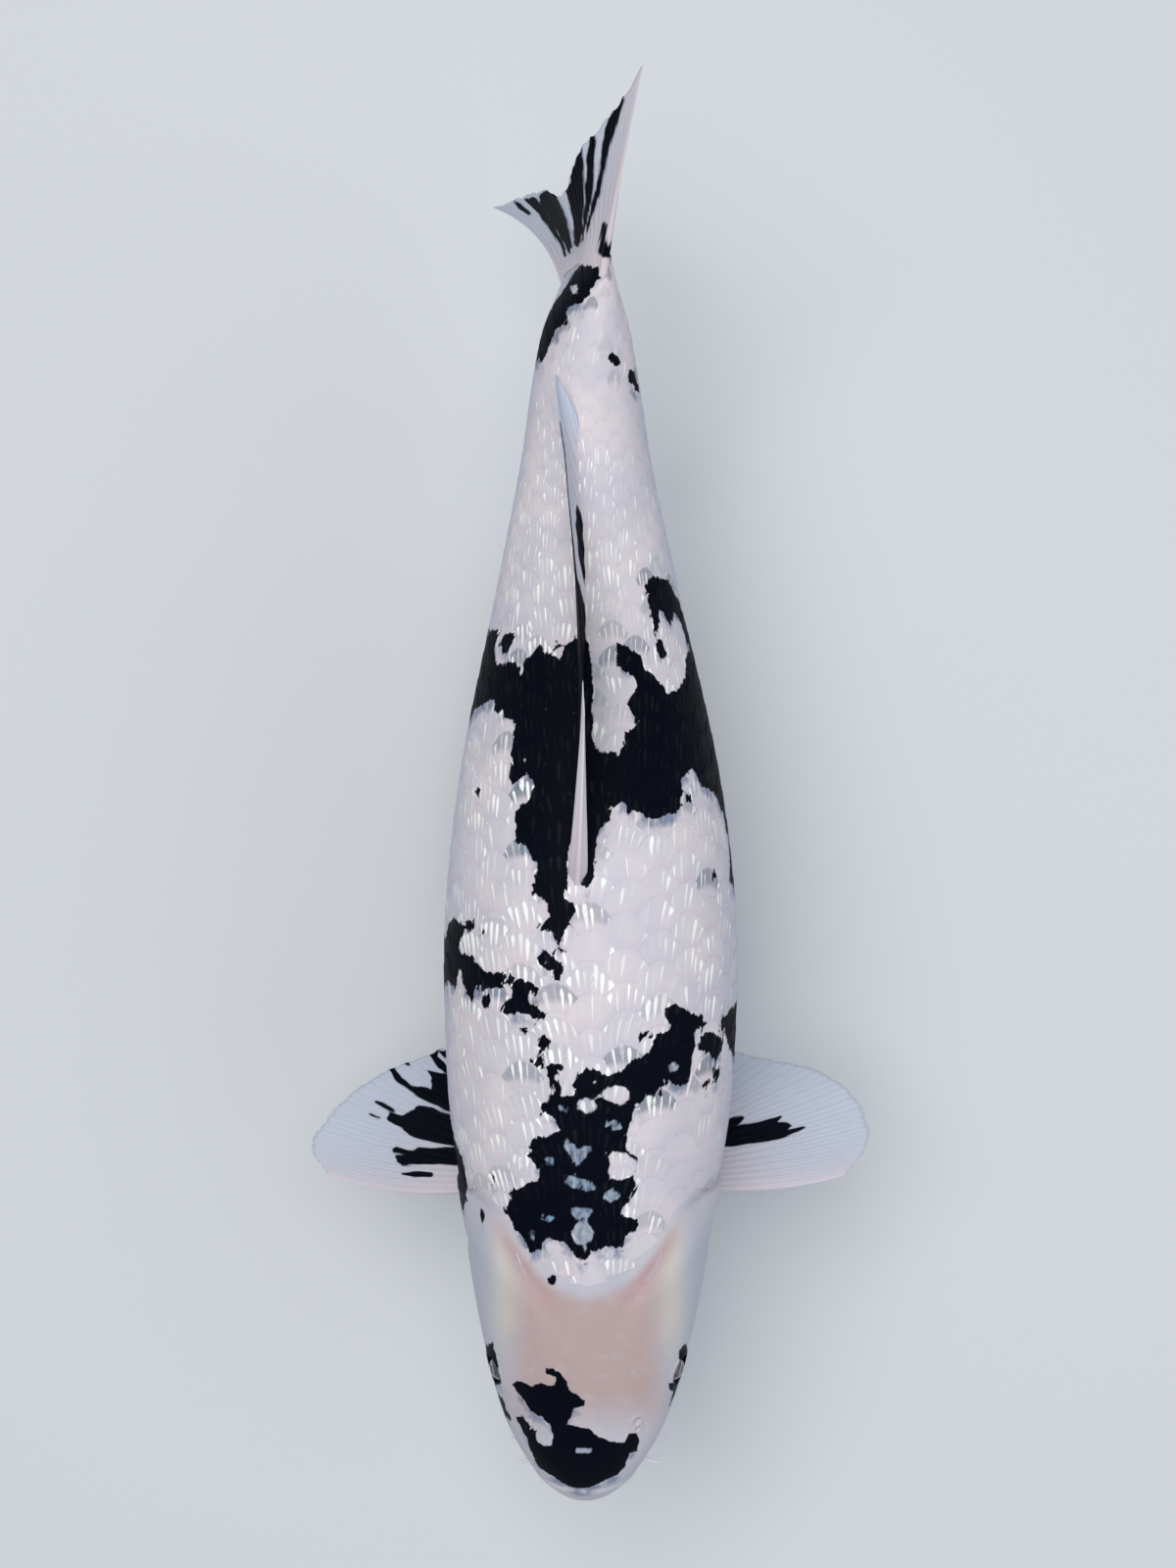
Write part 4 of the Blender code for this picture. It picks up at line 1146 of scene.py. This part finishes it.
for side, sign in (("left", 1), ("right", -1)):
    eye = bmesh.new()
    bmesh.ops.create_uvsphere(eye, u_segments=40, v_segments=36, radius=eye_radius)
    turned_layer = eye.verts.layers.float.new("turned")
    outward = Vector((sign, -0.16, 0.20)).normalized()
    for vert in eye.verts:
        angle = np.degrees(vert.co.angle(Vector((0, 0, 1))))
        vert[turned_layer] = angle
        vert.co *= 0.97 + 0.06 * float(soft_step(angle, 50, 15))
    bmesh.ops.rotate(eye, verts=eye.verts, matrix=outward.to_track_quat("Z", "Y").to_matrix())
    bmesh.ops.translate(eye, verts=eye.verts, vec=eye_places[side])
    piece = new_piece(f"eye_ball_{side}", new_mesh(f"eye_ball_{side}", eye, eye_glass))
    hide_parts(f"eye_{side}")

# ---- Barbels ----
# Two soft tapered feelers each side: a short one on the upper lip and a longer one at the
# corner of the mouth.

barbel_skin = new_material(
    "barbel_skin", Subsurface_Weight=0.2, Subsurface_Scale=0.002, Specular_IOR_Level=0.25
)
mottle = noise(barbel_skin, 0.002, 3.0)
colour = mottle.blend((0.66, 0.64, 0.68, 1), (0.76, 0.74, 0.78, 1))
finish(colour, mottle * 0.1 + 0.3, mottle, 0.1, 0.0002)
barbel_routes = {
    "lip": ((0.040, 0.030, -0.036), (0.0500, 0.0260, -0.0400), (0.0580, 0.0225, -0.0460)),
    "corner": ((0.040, 0.048, -0.052), (0.0560, 0.0400, -0.0590), (0.0630, 0.0350, -0.0740)),
}
for name, route in barbel_routes.items():
    for side, sign in (("left", 1), ("right", -1)):
        root, bend, tip = [
            Vector((sign * x * body_length, snout_y + along * body_length, axis_z + up * body_length))
            for x, along, up in route
        ]
        barbel = bmesh.new()
        root_radius, tip_radius = 1.5 * mm, 0.65 * mm
        bmesh.ops.create_cone(
            barbel, cap_ends=True, segments=14, radius1=root_radius, radius2=tip_radius, depth=1
        )
        long_edges = [e for e in barbel.edges if abs(e.verts[0].co.z - e.verts[1].co.z) > 0.5]
        bmesh.ops.subdivide_edges(barbel, edges=long_edges, cuts=16)
        caps = [face for face in barbel.faces if len(face.verts) > 4]
        bmesh.ops.poke(barbel, faces=caps, offset=0.4 * mm)
        for vert in barbel.verts:
            t = min(vert.co.z + 0.5, 1)
            spot = root * (1 - t) ** 2 + bend * 2 * t * (1 - t) + tip * t * t
            heading = (bend - root) * (1 - t) + (tip - bend) * t
            turn = heading.to_track_quat("Z", "Y").to_matrix()
            swell = 1 + 0.10 * np.sin(t * 14)
            vert.co = spot + turn @ Vector((vert.co.x * swell, vert.co.y * swell, max(vert.co.z - 0.5, 0)))
        mesh = new_mesh(f"feeler_{name}_{side}", barbel, barbel_skin)
        piece = new_piece(f"feeler_{name}_{side}", mesh)
        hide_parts(f"barbel_{name}_{side}")

# ---- Display stand ----
# An oval base of oiled walnut with an eased edge, and two rods of brushed steel that go up
# into the belly.

walnut = new_material("walnut", Specular_IOR_Level=0.4, Coat_Weight=0.15, Coat_Roughness=0.3)
place = node(walnut, "TexCoord", {}, "Object")
warp = node(walnut, "TexNoise", {"Vector": place, "Scale": 6.0, "Detail": 2.0}, "Color")
bent = node(walnut, "VectorMath", {0: warp, 1: (0.02, 0.02, 0.02), 2: place}, operation="MULTIPLY_ADD")
grain = noise(walnut, (1 / 60, 1 / 4, 1 / 60), 5.0, 0.6, bent)
fibre = noise(walnut, (1 / 900, 1 / 30, 1 / 900))
wood = grain.step(0.3, 0.7).blend((0.050, 0.022, 0.011, 1), (0.17, 0.085, 0.042, 1))
wood = wood.tinted(fibre.step(0.55, 0.75) * 0.5, (0.03, 0.014, 0.008, 1))
finish(wood, fibre * 0.2 + 0.35, fibre, 0.2, 0.0002)

steel = new_material("brushed_steel", Metallic=1.0)
scratch = noise(steel, (1 / 300, 1 / 300, 1 / 9000))
metal = scratch.blend((0.42, 0.42, 0.43, 1), (0.58, 0.58, 0.59, 1))
finish(metal, scratch * 0.2 + 0.22, scratch, 0.15, 0.0001)

for name, material in (("stand_base", walnut), ("stand_rod_front", steel), ("stand_rod_rear", steel)):
    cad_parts[name].material_slots[0].material = material

# ---- Floor, light and camera ----
# A plain pale floor and soft light from large lamps, with the camera straight above the fish.

floor = bmesh.new()
bmesh.ops.create_grid(floor, x_segments=1, y_segments=1, size=4)
floor_paint = new_material("floor_paint", Base_Color=(0.62, 0.64, 0.66, 1), Roughness=0.7)
floor_piece = show("floor", new_mesh("floor", floor, floor_paint))

lit_spot = Vector((0, 0, 0.15))
for name, place, size, power, tint in (
    ("key_light", (-0.30, 0.30, 2.05), 1.3, 28, (1.0, 0.985, 0.965)),
    ("fill_light", (1.3, -0.6, 1.4), 1.6, 8, (0.90, 0.94, 1.0)),
):
    lamp = bpy.data.lights.new(name, "AREA")
    lamp.size, lamp.energy, lamp.color = size, power, tint
    lamp_object = show(name, lamp)
    lamp_object.location = place
    lamp_object.rotation_euler = (lit_spot - Vector(place)).to_track_quat("-Z", "Y").to_euler()

world = bpy.data.worlds.new("studio")
world.use_nodes = True
world.node_tree.nodes["Background"].inputs["Color"].default_value = (0.86, 0.92, 1.0, 1)
world.node_tree.nodes["Background"].inputs["Strength"].default_value = 0.45
bpy.context.scene.world = world
bpy.context.scene.view_settings.view_transform = "Standard"

lens = bpy.data.cameras.new("camera")
lens.sensor_width, lens.lens, lens.clip_start = 36, 53.57, 0.01
camera = show("camera", lens)
camera.location = (0, snout_y + view_behind, axis_z + view_height)
bpy.context.scene.camera = camera
